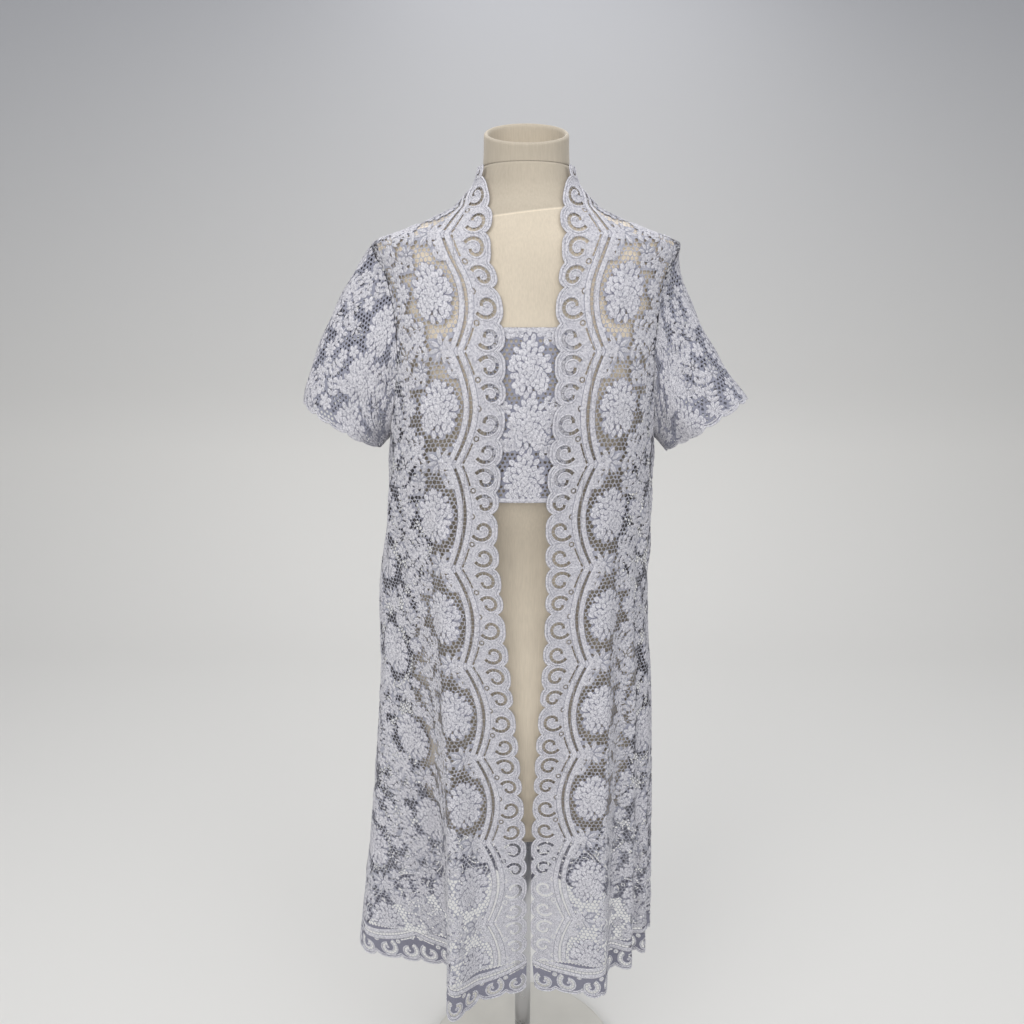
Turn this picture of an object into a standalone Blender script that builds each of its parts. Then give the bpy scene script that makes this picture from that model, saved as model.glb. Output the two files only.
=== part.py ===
"""Kebaya blouse of lace, worn by a limbless dress form on a pole and a round foot.

Metres, +Z up. The origin is the centre of the foot's underside. The blouse's front faces -Y,
and the wearer's right side is at -X. Angles round the body run from the front's centre (0)
past the right side (90) and the back (180) to the left side (270).
"""

import math
from collections import namedtuple

import bmesh
import bpy
import numpy as np

# Driving sizes.
CLOTH = 0.0012  # thickness of the lace
SEAM_GAP = 0.0003  # between two pieces at a seam
SLEEVE_GAP = 0.0007  # between an armhole's edge and its sleeve
HEM_Z = 0.280
BAND_TALL = 0.055  # lace band sewn along the hem
BORDER_WIDE = 0.043  # scalloped border of the fronts and the neck
REPEAT = 0.130  # height of one repeat of the lace
FIELD_WIDE = 0.110  # width of one repeat of the field's flowers
NECK_SEAM_Z = 1.353  # where the back ends and its neck border begins
TOP_Z = 1.400  # top of the torso and of the neck borders
FRONT_TOP_Z = 1.360  # where the borders meet the shoulder seam
SHOULDER_Z = 1.312  # armhole's top
YOKE_Z = 1.285  # where the shoulders start to round over
UNDERARM_Z = 1.080  # armhole's foot
ARMHOLE_FRONT = 29.0  # degrees that the armhole reaches in front of the side
ARMHOLE_BACK = 30.0  # and behind it
ARMHOLE_TURNS = 12  # rows round half an armhole, which the sleeve's columns share
ROW_STEP = 0.042  # between the rows below the armholes
SLOPE_ROWS = (1.320, 1.328, 1.336, 1.344, 1.353, 1.363, 1.380)  # rows along the shoulder seam
PANEL_LOW, PANEL_HIGH = 1.014, 1.217  # centre panel's lower and upper edges
PANEL_TUCK = 0.022  # how far the centre panel runs in behind each border
PANEL_GAP = 0.0008  # between them
BAND_NOTCH = 0.005  # depth of the scallops along the hem
ROW_NEAR = 0.004  # rows are at least this far apart
SCALLOP_ROWS = (0.0, 0.28, 0.72)  # rows of a scallop as shares of its height
FRONT_COLUMNS, BACK_COLUMNS = 12, 18  # columns of a front and of the back
BAND_COLUMNS = {"hem_band_right": 24, "hem_band_left": 24, "back": 32}
PANEL_ROW, PANEL_COLUMNS = 0.026, 8

# Plain sections of the form and of the lace over it: half widths at the wearer's right and
# left, depths in front and behind, and how square the section is (2 is an ellipse).
Ring = namedtuple("Ring", "name z right left front back square")
FORM = [
    Ring("underside", 0.520, 0.138, 0.138, 0.086, 0.098, 2.2),
    Ring("thigh", 0.600, 0.152, 0.152, 0.094, 0.110, 2.2),
    Ring("seat", 0.720, 0.159, 0.159, 0.098, 0.116, 2.2),
    Ring("high_hip", 0.830, 0.149, 0.149, 0.093, 0.103, 2.2),
    Ring("waist", 0.940, 0.124, 0.124, 0.084, 0.086, 2.1),
    Ring("ribs", 1.020, 0.138, 0.138, 0.101, 0.093, 2.2),
    Ring("bust", 1.120, 0.152, 0.152, 0.1175, 0.101, 2.5),
    Ring("chest", 1.180, 0.157, 0.157, 0.1120, 0.105, 2.5),
    Ring("blades", 1.240, 0.164, 0.164, 0.0990, 0.104, 2.5),
    Ring("yoke", YOKE_Z, 0.174, 0.174, 0.0880, 0.092, 2.4),
    Ring("shoulder", 1.300, 0.1810, 0.1810, 0.0835, 0.0870, 2.3),
    Ring("slope_1", 1.312, 0.1820, 0.1820, 0.0795, 0.0830, 2.2),
    Ring("slope_2", 1.328, 0.1490, 0.1490, 0.0735, 0.0760, 2.1),
    Ring("slope_3", 1.342, 0.1130, 0.1130, 0.0685, 0.0710, 2.0),
    Ring("slope_4", 1.353, 0.0872, 0.0872, 0.0640, 0.0670, 2.0),
    Ring("neck_base", 1.363, 0.0750, 0.0750, 0.0572, 0.0610, 2.0),
    Ring("neck_side", 1.380, 0.0582, 0.0582, 0.0512, 0.0545, 2.0),
    Ring("neck_low", 1.400, 0.0530, 0.0530, 0.0490, 0.0520, 2.0),
]
# The lace lies 1 mm off the form along the shoulder seams and hangs free below the bust.
LACE = [
    Ring("hem", 0.280, 0.2555, 0.1980, 0.1000, 0.1200, 2.0),
    Ring("thigh", 0.490, 0.2280, 0.1910, 0.1035, 0.1220, 2.0),
    Ring("seat", 0.690, 0.2070, 0.1820, 0.1070, 0.1240, 2.1),
    Ring("high_hip", 0.875, 0.1910, 0.1680, 0.1100, 0.1190, 2.2),
    Ring("ribs", 1.000, 0.1800, 0.1645, 0.1160, 0.1120, 2.3),
    Ring("underarm", 1.080, 0.1730, 0.1640, 0.1205, 0.1080, 2.5),
    Ring("bust", 1.120, 0.1715, 0.1660, 0.1215, 0.1070, 2.5),
    Ring("chest", 1.180, 0.1705, 0.1690, 0.1155, 0.1080, 2.5),
    Ring("blades", 1.240, 0.1730, 0.1730, 0.1020, 0.1065, 2.5),
    Ring("yoke", YOKE_Z, 0.1790, 0.1790, 0.0915, 0.0955, 2.4),
    Ring("shoulder", 1.300, 0.1865, 0.1865, 0.0870, 0.0905, 2.3),
    Ring("slope_1", 1.312, 0.1880, 0.1880, 0.0830, 0.0865, 2.2),
    Ring("slope_2", 1.328, 0.1500, 0.1500, 0.0770, 0.0795, 2.1),
    Ring("slope_3", 1.342, 0.1140, 0.1140, 0.0725, 0.0745, 2.0),
    Ring("slope_4", 1.353, 0.0885, 0.0885, 0.0685, 0.0710, 2.0),
    Ring("neck_base", 1.363, 0.0800, 0.0800, 0.0645, 0.0670, 2.0),
    Ring("neck_side", 1.380, 0.0640, 0.0640, 0.0580, 0.0605, 2.0),
    Ring("neck_low", 1.400, 0.0570, 0.0570, 0.0535, 0.0560, 2.0),
]

# The fronts' edges: x of the scallops' tips at each height.
Edge = namedtuple("Edge", "z right left")
EDGES = [
    Edge(0.280, 0.003, 0.016),
    Edge(0.385, 0.004, 0.009),
    Edge(0.500, 0.003, 0.0085),
    Edge(0.660, -0.007, 0.013),
    Edge(0.775, -0.018, 0.020),
    Edge(0.885, -0.028, 0.024),
    Edge(0.980, -0.034, 0.023),
    Edge(1.060, -0.029, 0.025),
    Edge(1.140, -0.024, 0.031),
    Edge(1.215, -0.025, 0.031),
    Edge(1.260, -0.031, 0.034),
    Edge(1.305, -0.041, 0.039),
    Edge(1.345, -0.039, 0.037),
    Edge(1.372, -0.045, 0.043),
    Edge(1.400, -0.0500, 0.0490),
]

# Where the hem's folds stand: angle round the body, place at the hem, and the height at
# which the fold starts to leave the plain section.
Fold = namedtuple("Fold", "name angle x y start")
FOLDS = [
    Fold("right_edge", -0.7, 0.003, -0.100, 1.05),
    Fold("right_flat", 20, -0.063, -0.120, 1.05),
    Fold("right_flute", 31, -0.102, -0.152, 1.10),
    Fold("right_flute_side", 42, -0.108, -0.102, 1.08),
    Fold("right_flute_root", 52, -0.113, -0.058, 1.00),
    Fold("right_flank", 60, -0.142, -0.053, 1.00),
    Fold("right_flank_out", 71, -0.193, -0.044, 1.02),
    Fold("right_side_front", 82, -0.243, -0.031, 1.04),
    Fold("right_side", 90, -0.2555, 0.000, 1.05),
    Fold("right_side_back", 100, -0.243, 0.036, 1.04),
    Fold("back_root_1", 114, -0.196, 0.074, 1.02),
    Fold("back_root_2", 127, -0.152, 0.086, 1.06),
    Fold("back_flute_1", 140, -0.120, 0.134, 1.12),
    Fold("back_root_3", 153, -0.080, 0.106, 1.02),
    Fold("back_flute_2", 167, -0.046, 0.143, 1.10),
    Fold("back_centre", 181, 0.002, 0.112, 1.00),
    Fold("back_flute_3", 195, 0.044, 0.140, 1.12),
    Fold("back_root_4", 209, 0.084, 0.104, 1.04),
    Fold("back_flute_4", 222, 0.113, 0.128, 1.10),
    Fold("back_root_5", 236, 0.141, 0.082, 1.02),
    Fold("back_left", 250, 0.174, 0.070, 1.02),
    Fold("left_side_back", 261, 0.194, 0.044, 1.02),
    Fold("left_side", 270, 0.203, 0.018, 1.02),
    Fold("left_step_root_3", 279, 0.187, 0.001, 1.00),
    Fold("left_step_2", 288, 0.186, -0.033, 0.98),
    Fold("left_step_root_2", 298, 0.163, -0.031, 0.98),
    Fold("left_step_1", 306, 0.160, -0.063, 1.02),
    Fold("left_step_root_1", 315, 0.129, -0.063, 1.00),
    Fold("left_crest", 327, 0.112, -0.113, 1.10),
    Fold("left_flat", 340, 0.061, -0.105, 1.05),
    Fold("left_edge", 355.4, 0.016, -0.100, 1.05),
]

# Soft creases: a ridge, or a trough where height is negative, between two places, each an
# angle round the body and a height. Wide is its half width in degrees.
Crease = namedtuple("Crease", "name from_angle from_z to_angle to_z wide height")
CREASES = [
    Crease("right_pull", 34, 1.130, 84, 0.860, 9.0, 0.0060),
    Crease("right_pull_trough", 46, 1.050, 88, 0.780, 8.0, -0.0060),
    Crease("right_hip_bump", 96, 0.960, 86, 0.760, 9.0, 0.0070),
    Crease("left_pull", 326, 1.120, 282, 0.900, 9.0, 0.0050),
    Crease("left_waist_trough", 310, 1.040, 278, 0.760, 8.0, -0.0050),
    Crease("back_waist_1", 128, 1.060, 152, 0.800, 8.0, -0.0060),
    Crease("back_waist_2", 236, 1.080, 208, 0.820, 8.0, -0.0060),
]

# Scallops of one repeat of the border, from below: share of the repeat and how far the
# notch between it and the next one cuts in.
Scallop = namedtuple("Scallop", "share notch")
SCALLOPS = [
    Scallop(0.235, 0.0065),
    Scallop(0.305, 0.0085),
    Scallop(0.205, 0.0050),
    Scallop(0.255, 0.0075),
]

# Gaps that are cut through the field in each repeat of its flowers: shares of the repeat
# across and up, and the gap's size.
Gap = namedtuple("Gap", "across up wide tall")
FIELD_GAPS = [
    Gap(0.14, 0.30, 0.0065, 0.0110),
    Gap(0.50, 0.08, 0.0070, 0.0100),
    Gap(0.82, 0.56, 0.0060, 0.0100),
]
BACK_GAPS = FIELD_GAPS[:2]
GAP_MARGIN = 0.12  # share of its cell that a gap leaves whole at each side
SLEEVE_GAPS = ((1, 3), (3, 5), (4, 8), (2, 8))  # cells of a sleeve half's grid that are cut
SLEEVE_GAP_CELL = (0.32, 0.68, 0.32, 0.68)  # the gap's edges as shares of its cell
SLEEVE_SPLIT = 0.3  # degrees from the fold line to each half of a sleeve
SLEEVE_ROWS = (0, 0.12, 0.28, 0.46, 0.64, 0.82, 1.0)  # shares of a sleeve's length
SLOT_WIDE, SLOT_TALL = 0.0052, 0.0105  # slot of a scroll, in the round of each scallop
SLOT_ROUND = 0.001  # the outline may lie this far inside its tips where a slot is cut

# The sleeves' hems: outer and inner corners, half depth, how much lower the back hangs, how
# far it sags between its corners, and how far the outer side swells out or falls in.
Sleeve = namedtuple("Sleeve", "side outer_x outer_z inner_x inner_z deep drop sag swell")
SLEEVES = [
    Sleeve("right", -0.2850, 1.124, -0.1905, 1.066, 0.047, 0.004, 0.003, 0.015),
    Sleeve("left", 0.2850, 1.138, 0.1880, 1.072, 0.050, 0.014, 0.006, -0.015),
]
SLEEVE_SPRING = 0.040  # how strongly a sleeve follows the shoulder's slope at its seam
UNDERARM_SPRING = 0.010  # and the side seam's slope under the arm
SLEEVE_FINISH = 0.6  # how straight it runs into its hem

# Form's neck: height, how far it leans with depth, half width, depths in front and behind.
Neck = namedtuple("Neck", "z lean half front back")
NECK = [
    Neck(TOP_Z + SEAM_GAP, 0.00, 0.0520, 0.0485, 0.0515),
    Neck(1.419, 0.26, 0.0510, 0.0486, 0.0505),
    Neck(1.4365, 0.42, 0.0506, 0.0490, 0.0500),
    Neck(1.4390, 0.42, 0.0480, 0.0465, 0.0475),
    Neck(1.4365, 0.42, 0.0455, 0.0440, 0.0450),
    Neck(1.4180, 0.30, 0.0440, 0.0425, 0.0435),
]
FORM_SIDES = 28
FORM_ROW = 0.076  # between the rows of the torso below its yoke
NECK_SIDES = 24
POLE_R = 0.0125
FOOT_R, FOOT_TALL = 0.165, 0.020
FOOT_EDGE = 0.006  # rounding of the foot's rim
FOOT_RISE = 0.002  # from the rim to the hub
HUB_R, HUB_Z = 0.026, 0.032
FOOT_SIDES = 24
POLE_SIDES = 12

LACE_COLOUR = (0.62, 0.62, 0.72)
JERSEY_COLOUR = (0.86, 0.78, 0.64)
METAL_COLOUR = (0.70, 0.70, 0.72)


def smooth(xs, ys, x):
    """Curve through the points (xs, ys) that never overshoots them, read at x."""
    xs, ys, x = (np.asarray(a, float) for a in (xs, ys, x))
    step = np.diff(xs)
    slope = np.diff(ys) / step
    before, after = slope[:-1], slope[1:]
    same = before * after > 0
    lean = np.zeros(len(xs))
    lean[1:-1][same] = 2 * before[same] * after[same] / (before[same] + after[same])
    lean[0], lean[-1] = slope[0], slope[-1]
    k = np.clip(np.searchsorted(xs, x) - 1, 0, len(xs) - 2)
    t = np.clip((x - xs[k]) / step[k], 0, 1)
    rise = ys[k + 1] - ys[k]
    a = step[k] * lean[k] - rise
    b = rise - step[k] * lean[k + 1]
    return ys[k] + t * rise + t * (1 - t) * ((1 - t) * a + t * b)


def column(rows, name, z):
    """One column of a table, read at the heights z."""
    return smooth([r.z for r in rows], [getattr(r, name) for r in rows], z)


def ring(rows, angle, z):
    """Points (x, y) of a table's plain section at the angles, in degrees, and heights."""
    turn = np.radians(angle)
    across, ahead = np.sin(turn), np.cos(turn)
    half = np.where(across > 0, column(rows, "right", z), column(rows, "left", z))
    deep = np.where(ahead > 0, column(rows, "front", z), column(rows, "back", z))
    power = 2 / column(rows, "square", z)
    x = -half * np.sign(across) * np.abs(across) ** power
    y = -deep * np.sign(ahead) * np.abs(ahead) ** power
    return x, y


def hem_shifts():
    """How far each fold stands from the plain section at the hem."""
    angles = np.array([f.angle for f in FOLDS], float)
    x, y = ring(LACE, angles, np.full(len(FOLDS), HEM_Z))
    return angles, np.array([f.x for f in FOLDS]) - x, np.array([f.y for f in FOLDS]) - y


FOLD_ANGLES, FOLD_DX, FOLD_DY = hem_shifts()
FOLD_STARTS = np.array([f.start for f in FOLDS])
FOLD_GROWTH = 1.12  # over 1, so that a fold leaves the plain section softly


def crease_height(angle, z):
    """Sum of the creases at the angles and heights."""
    total = np.zeros(np.broadcast(angle, z).shape)
    for c in CREASES:
        along = np.clip((z - c.from_z) / (c.to_z - c.from_z), 0, 1)
        centre = c.from_angle + along * (c.to_angle - c.from_angle)
        total += c.height * np.sin(math.pi * along) * np.exp(-(((angle - centre) / c.wide) ** 2))
    return total


def drape(angle, z):
    """Points (x, y, z) of the lace's inner side, its folds and creases included."""
    angle, z = np.broadcast_arrays(np.asarray(angle, float), np.asarray(z, float))
    x, y = ring(LACE, angle, z)
    shape = angle.shape
    x, y, flat_angle, flat_z = x.ravel(), y.ravel(), angle.ravel(), z.ravel()
    low = np.clip(flat_z, HEM_Z, None)
    for height in np.unique(low[low < FOLD_STARTS.max()]):
        here = low == height
        growth = np.clip((FOLD_STARTS - height) / (FOLD_STARTS - HEM_Z), 0, 1) ** FOLD_GROWTH
        x[here] += smooth(FOLD_ANGLES, FOLD_DX * growth, flat_angle[here])
        y[here] += smooth(FOLD_ANGLES, FOLD_DY * growth, flat_angle[here])
    turn = np.radians(flat_angle)
    out = crease_height(flat_angle, flat_z)
    points = np.stack([x - out * np.sin(turn), y - out * np.cos(turn), flat_z], axis=-1)
    return points.reshape(shape + (3,))


def outward(angle, z):
    """Unit vectors that point out of the lace at the angles and heights."""
    turn, rise = 0.4, 0.0015
    across = drape(angle + turn, z) - drape(angle - turn, z)
    up = drape(angle, z + rise) - drape(angle, z - rise)
    normal = np.cross(up, across)
    return normal / np.linalg.norm(normal, axis=-1, keepdims=True)


def edge_angle(side, z):
    """Angle at which a front has its edge at a height."""
    low, high = (-20, 70) if side == "right" else (290, 380)
    angles = np.linspace(low, high, 361)
    return float(np.interp(-column(EDGES, side, z), -drape(angles, z)[:, 0], angles))


def armhole_reach(z):
    """Share of the armhole's width at the heights: 1 at its middle, 0 at its ends."""
    middle, half = (SHOULDER_Z + UNDERARM_Z) / 2, (SHOULDER_Z - UNDERARM_Z) / 2
    return np.sqrt(np.clip(1 - ((z - middle) / half) ** 2, 0, None))


class Row:
    """One level line round the lace from the right front's edge to the left one's."""

    def __init__(self, z):
        self.z = z
        self.angles = np.linspace(edge_angle("right", z), edge_angle("left", z), 901)
        points = drape(self.angles, z)
        steps = np.linalg.norm(np.diff(points, axis=0), axis=1)
        self.lengths = np.concatenate([[0], np.cumsum(steps)])

    def at(self, angle):
        """Length along the row up to an angle."""
        return np.interp(angle, self.angles, self.lengths)

    def angle(self, length):
        """Angle at a length along the row."""
        return np.interp(length, self.lengths, self.angles)


def seam_lengths(row):
    """Lengths along a row of the fronts' and the back's side edges, armholes left out."""
    reach = float(armhole_reach(row.z))
    half = SEAM_GAP / 2
    return {
        "front_right": row.at(90 - ARMHOLE_FRONT * reach) - half,
        "back_right": row.at(90 + ARMHOLE_BACK * reach) + half,
        "back_left": row.at(270 - ARMHOLE_BACK * reach) - half,
        "front_left": row.at(270 + ARMHOLE_FRONT * reach) + half,
    }


def spans(row, piece):
    """Lengths along a row where a piece of the body starts and ends."""
    seams = seam_lengths(row)
    whole = row.lengths[-1]
    notch = float(scallop(row.z))
    border = BORDER_WIDE
    if row.z > FRONT_TOP_Z:
        border = min(BORDER_WIDE, seams["front_right"] + SEAM_GAP / 2)
    return {
        "front_right": (border + SEAM_GAP, seams["front_right"]),
        "front_left": (seams["front_left"], whole - border - SEAM_GAP),
        "border_right": (notch, min(border, seams["front_right"])),
        "border_left": (max(whole - border, seams["front_left"]), whole - notch),
        "hem_band_right": (0.0, seams["front_right"]),
        "hem_band_left": (seams["front_left"], whole),
        "back": (seams["back_right"], seams["back_left"]),
    }[piece]


def scallop(z):
    """How far the border's outline lies inside its tips at the heights."""
    up = ((np.asarray(z, float) - HEM_Z) / REPEAT) % 1.0
    inset, low = np.zeros_like(up), 0.0
    for k, one in enumerate(SCALLOPS):
        here = (up >= low) & (up < low + one.share)
        along = (up - low) / one.share
        below = SCALLOPS[k - 1].notch
        deep = np.where(along < 0.5, below, one.notch)
        inset = np.where(here, deep * np.abs(2 * along - 1) ** 3, inset)
        low += one.share
    return inset


def even_rows(low, high, spacing):
    """Heights from low to high, about evenly spaced."""
    count = max(1, round((high - low) / spacing))
    return [low + (high - low) * k / count for k in range(count + 1)]


def border_heights():
    """Heights of the borders' rows: seams, each scallop's notch and two points on its round."""
    seams = [HEM_Z + BAND_TALL, UNDERARM_Z, SHOULDER_Z, *SLOPE_ROWS, TOP_Z]
    rows, base = list(seams), HEM_Z
    while base < TOP_Z:
        for one in SCALLOPS:
            for share in SCALLOP_ROWS:
                z = base + share * one.share * REPEAT
                if seams[0] < z < TOP_Z and min(abs(z - seam) for seam in seams) > ROW_NEAR:
                    rows.append(z)
            base += one.share * REPEAT
    return sorted(rows)


def armhole_heights():
    """Heights of the rows across an armhole, at about even turns, shared with the borders."""
    rows = np.array(border_heights())
    turns = np.linspace(180, 0, ARMHOLE_TURNS + 1)
    wanted = [float(armhole("right", t)[1]) for t in turns]
    inner = {float(rows[np.argmin(np.abs(rows - z))]) for z in wanted[1:-1]}
    return sorted(inner | {UNDERARM_Z, SHOULDER_Z})


def body_heights(top):
    """Heights of the fronts' and the back's rows, shared with the borders."""
    rows = np.array(border_heights())
    wanted = even_rows(HEM_Z + BAND_TALL, UNDERARM_Z, ROW_STEP)[:-1]
    low = sorted({float(rows[np.argmin(np.abs(rows - z))]) for z in wanted})
    slope = [z for z in SLOPE_ROWS if z < top - ROW_NEAR] + [top]
    return low + armhole_heights() + slope


def fold_shares(piece, count):
    """Columns of a piece as shares of its angle, on the folds, then between them."""
    row = Row(HEM_Z)
    first, last = row.angle(np.array(spans(row, piece)))
    angles = [first, last] + [f.angle for f in FOLDS if first + 2.5 < f.angle < last - 2.5]
    while len(angles) <= count:
        angles.sort()
        widest = int(np.argmax(np.diff(angles)))
        angles.append((angles[widest] + angles[widest + 1]) / 2)
    return (np.sort(angles) - first) / (last - first)


def body_grid(piece, heights, shares):
    """Inner and outer points of a piece of the body and their lengths along its rows."""
    inner, outer, lengths = [], [], []
    for z in heights:
        row = Row(z)
        first, last = row.angle(np.array(spans(row, piece)))
        angles = first + shares * (last - first)
        points = drape(angles, z)
        inner.append(points)
        outer.append(points + CLOTH * outward(angles, z))
        lengths.append(row.at(angles))
    return np.array(inner), np.array(outer), np.array(lengths)


def gap_cells(heights, lengths, gaps, wide, tall, from_end):
    """Grid cells that a gap is cut through, with the gap's edges as shares of its cell."""
    cells = {}
    for i in range(len(heights) - 1):
        low, high = heights[i], heights[i + 1]
        ends = (lengths[i] + lengths[i + 1]) / 2
        whole = ends[-1] if from_end else 0.0
        for j in range(len(ends) - 1):
            left, right = ends[j], ends[j + 1]
            for gap in gaps:
                spot = nearest_spot(gap, (left + right) / 2, (low + high) / 2, wide, tall, whole)
                if not (left < spot[0] < right and low < spot[1] < high):
                    continue
                half_u = min(gap.wide / (right - left) / 2, 0.5 - GAP_MARGIN)
                half_v = min(gap.tall / (high - low) / 2, 0.5 - GAP_MARGIN)
                u = within((spot[0] - left) / (right - left), half_u + GAP_MARGIN)
                v = within((spot[1] - low) / (high - low), half_v + GAP_MARGIN)
                cells[i, j] = (u - half_u, u + half_u, v - half_v, v + half_v)
    return cells


def within(share, margin):
    """A share kept at least a margin away from both ends of its cell."""
    return min(max(share, margin), 1 - margin)


def nearest_spot(gap, length, z, wide, tall, whole):
    """The repeat's copy of a gap that lies nearest to a place on the lace."""
    side = -1 if whole else 1
    along = side * (length - whole)
    lane = math.floor(along / wide)
    shift = 0.5 * (lane % 2)
    level = math.floor((z - HEM_Z) / tall - shift)
    return whole + side * (lane + gap.across) * wide, HEM_Z + (level + shift + gap.up) * tall


def material(name, colour, roughness, metallic=0.0):
    """A plain material of one colour."""
    made = bpy.data.materials.new(name)
    made.use_nodes = True
    shader = made.node_tree.nodes["Principled BSDF"]
    shader.inputs["Base Color"].default_value = (*colour, 1)
    shader.inputs["Roughness"].default_value = roughness
    shader.inputs["Metallic"].default_value = metallic
    return made


def add_object(name, points, faces, colour, roughness, metallic=0.0):
    """One closed solid with its faces turned out and its own material."""
    mesh = bpy.data.meshes.new(name)
    mesh.from_pydata([tuple(map(float, p)) for p in points], [], faces)
    work = bmesh.new()
    work.from_mesh(mesh)
    bmesh.ops.recalc_face_normals(work, faces=work.faces)
    work.to_mesh(mesh)
    work.free()
    mesh.materials.append(material(name, colour, roughness, metallic))
    thing = bpy.data.objects.new(name, mesh)
    bpy.context.collection.objects.link(thing)
    return thing


def add_wall(name, inner, outer, cells=None):
    """Lace wall between two grids of points, with gaps cut through the named cells."""
    rows, columns = inner.shape[:2]
    points = [*inner.reshape(-1, 3), *outer.reshape(-1, 3)]
    layer = rows * columns
    faces = []

    def corner(i, j, side):
        return side * layer + i * columns + j

    def hole(grid, i, j, u, v):
        low = grid[i, j] * (1 - u) + grid[i, j + 1] * u
        high = grid[i + 1, j] * (1 - u) + grid[i + 1, j + 1] * u
        return low * (1 - v) + high * v

    for i in range(rows - 1):
        for j in range(columns - 1):
            places = ((i, j), (i, j + 1), (i + 1, j + 1), (i + 1, j))
            if not cells or (i, j) not in cells:
                faces.append([corner(*p, 1) for p in places])
                faces.append([corner(*p, 0) for p in reversed(places)])
                continue
            u0, u1, v0, v1 = cells[i, j]
            first = len(points)
            for grid in (inner, outer):
                points += [hole(grid, i, j, *c) for c in ((u0, v0), (u1, v0), (u1, v1), (u0, v1))]
            for k in range(4):
                nxt = (k + 1) % 4
                a, b = corner(*places[k], 1), corner(*places[nxt], 1)
                faces.append([a, b, first + 4 + nxt, first + 4 + k])
                a, b = corner(*places[k], 0), corner(*places[nxt], 0)
                faces.append([b, a, first + k, first + nxt])
                faces.append([first + k, first + 4 + k, first + 4 + nxt, first + nxt])
    rim = [(0, j) for j in range(columns)] + [(i, columns - 1) for i in range(1, rows)]
    rim += [(rows - 1, j) for j in range(columns - 2, -1, -1)]
    rim += [(i, 0) for i in range(rows - 2, 0, -1)]
    for k, place in enumerate(rim):
        nxt = rim[(k + 1) % len(rim)]
        faces.append([corner(*place, 0), corner(*nxt, 0), corner(*nxt, 1), corner(*place, 1)])
    return add_object(name, points, faces, LACE_COLOUR, 0.85)


def make_body():
    """The two fronts and the back, from the hem bands up to the shoulder seams."""
    heights = body_heights(FRONT_TOP_Z)
    for side in ("right", "left"):
        name = "front_" + side
        inner, outer, lengths = body_grid(name, heights, fold_shares(name, FRONT_COLUMNS))
        cells = gap_cells(heights, lengths, FIELD_GAPS, FIELD_WIDE, REPEAT, side == "left")
        add_wall(name, inner, outer, cells)
    heights = body_heights(NECK_SEAM_Z - SEAM_GAP)
    inner, outer, lengths = body_grid("back", heights, fold_shares("back", BACK_COLUMNS))
    cells = gap_cells(heights, lengths, BACK_GAPS, FIELD_WIDE, REPEAT, False)
    add_wall("back", inner, outer, cells)


def onto_seam(grid, end, heights, seam, seam_heights):
    """Move a grid's end column onto the straight runs between a seam's points."""
    for axis in range(3):
        line = np.interp(heights, seam_heights, seam[:, axis])
        here = np.asarray(heights) <= seam_heights[-1]
        grid[here, end, axis] = line[here]


def make_borders():
    """Scalloped borders of the fronts, each scallop with its scroll's slot cut through."""
    heights = border_heights()
    seam_heights = body_heights(FRONT_TOP_Z)
    for side, seam_end in (("right", -1), ("left", 0)):
        name = "border_" + side
        inner, outer, lengths = body_grid(name, heights, np.array([0.0, 0.5, 1.0]))
        seam_inner, seam_outer, _ = body_grid(name, seam_heights, np.array([0.0, 1.0]))
        onto_seam(inner, seam_end, heights, seam_inner[:, seam_end], seam_heights)
        onto_seam(outer, seam_end, heights, seam_outer[:, seam_end], seam_heights)
        scroll_column = 0 if side == "right" else 1
        cells = {}
        for i, low in enumerate(heights[:-1]):
            tall = heights[i + 1] - low
            wide = lengths[i][scroll_column + 1] - lengths[i][scroll_column]
            on_round = float(scallop(low + tall / 2)) < SLOT_ROUND
            if on_round and tall > SLOT_TALL and wide > 3 * SLOT_WIDE:
                half_u = SLOT_WIDE / wide / 2
                half_v = SLOT_TALL / tall / 2
                cells[i, scroll_column] = (0.5 - half_u, 0.5 + half_u, 0.5 - half_v, 0.5 + half_v)
        add_wall(name, inner, outer, cells)


def make_back_neck_border():
    """Border round the back of the neck, from one shoulder seam to the other."""
    heights = [NECK_SEAM_Z] + [z for z in SLOPE_ROWS if z > NECK_SEAM_Z] + [TOP_Z]
    inner, outer, _ = body_grid("back", heights, fold_shares("back", BACK_COLUMNS))
    add_wall("border_back_neck", inner, outer)


def make_hem_bands():
    """Bands of lace along the hem, their lower edge scalloped."""
    top = HEM_Z + BAND_TALL - SEAM_GAP
    for piece, columns in BAND_COLUMNS.items():
        shares = fold_shares(piece, columns)
        low, high = Row(HEM_Z), Row(top)
        rise = BAND_NOTCH * (np.arange(columns + 1) % 2)
        angles, heights = [], []
        for row, lift in ((low, rise), (high, 0 * rise)):
            first, last = row.angle(np.array(spans(row, piece)))
            angles.append(first + shares * (last - first))
            heights.append(row.z + lift)
        angles, heights = np.array(angles), np.array(heights)
        inner = drape(angles, heights)
        name = "hem_band_back" if piece == "back" else piece
        add_wall(name, inner, inner + CLOTH * outward(angles, heights))


def make_centre_panel():
    """Centre panel behind the borders, from one front to the other."""
    heights = even_rows(PANEL_LOW, PANEL_HIGH, PANEL_ROW)
    inner, outer = [], []
    for z in heights:
        row = Row(z)
        right, left = row.angle(np.array([PANEL_TUCK, row.lengths[-1] - PANEL_TUCK]))
        angles = np.linspace(right, left - 360, PANEL_COLUMNS + 1)
        normal = outward(angles, z)
        points = drape(angles, z)
        inner.append(points - (CLOTH + PANEL_GAP) * normal)
        outer.append(points - PANEL_GAP * normal)
    add_wall("centre_panel", np.array(inner), np.array(outer))


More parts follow.
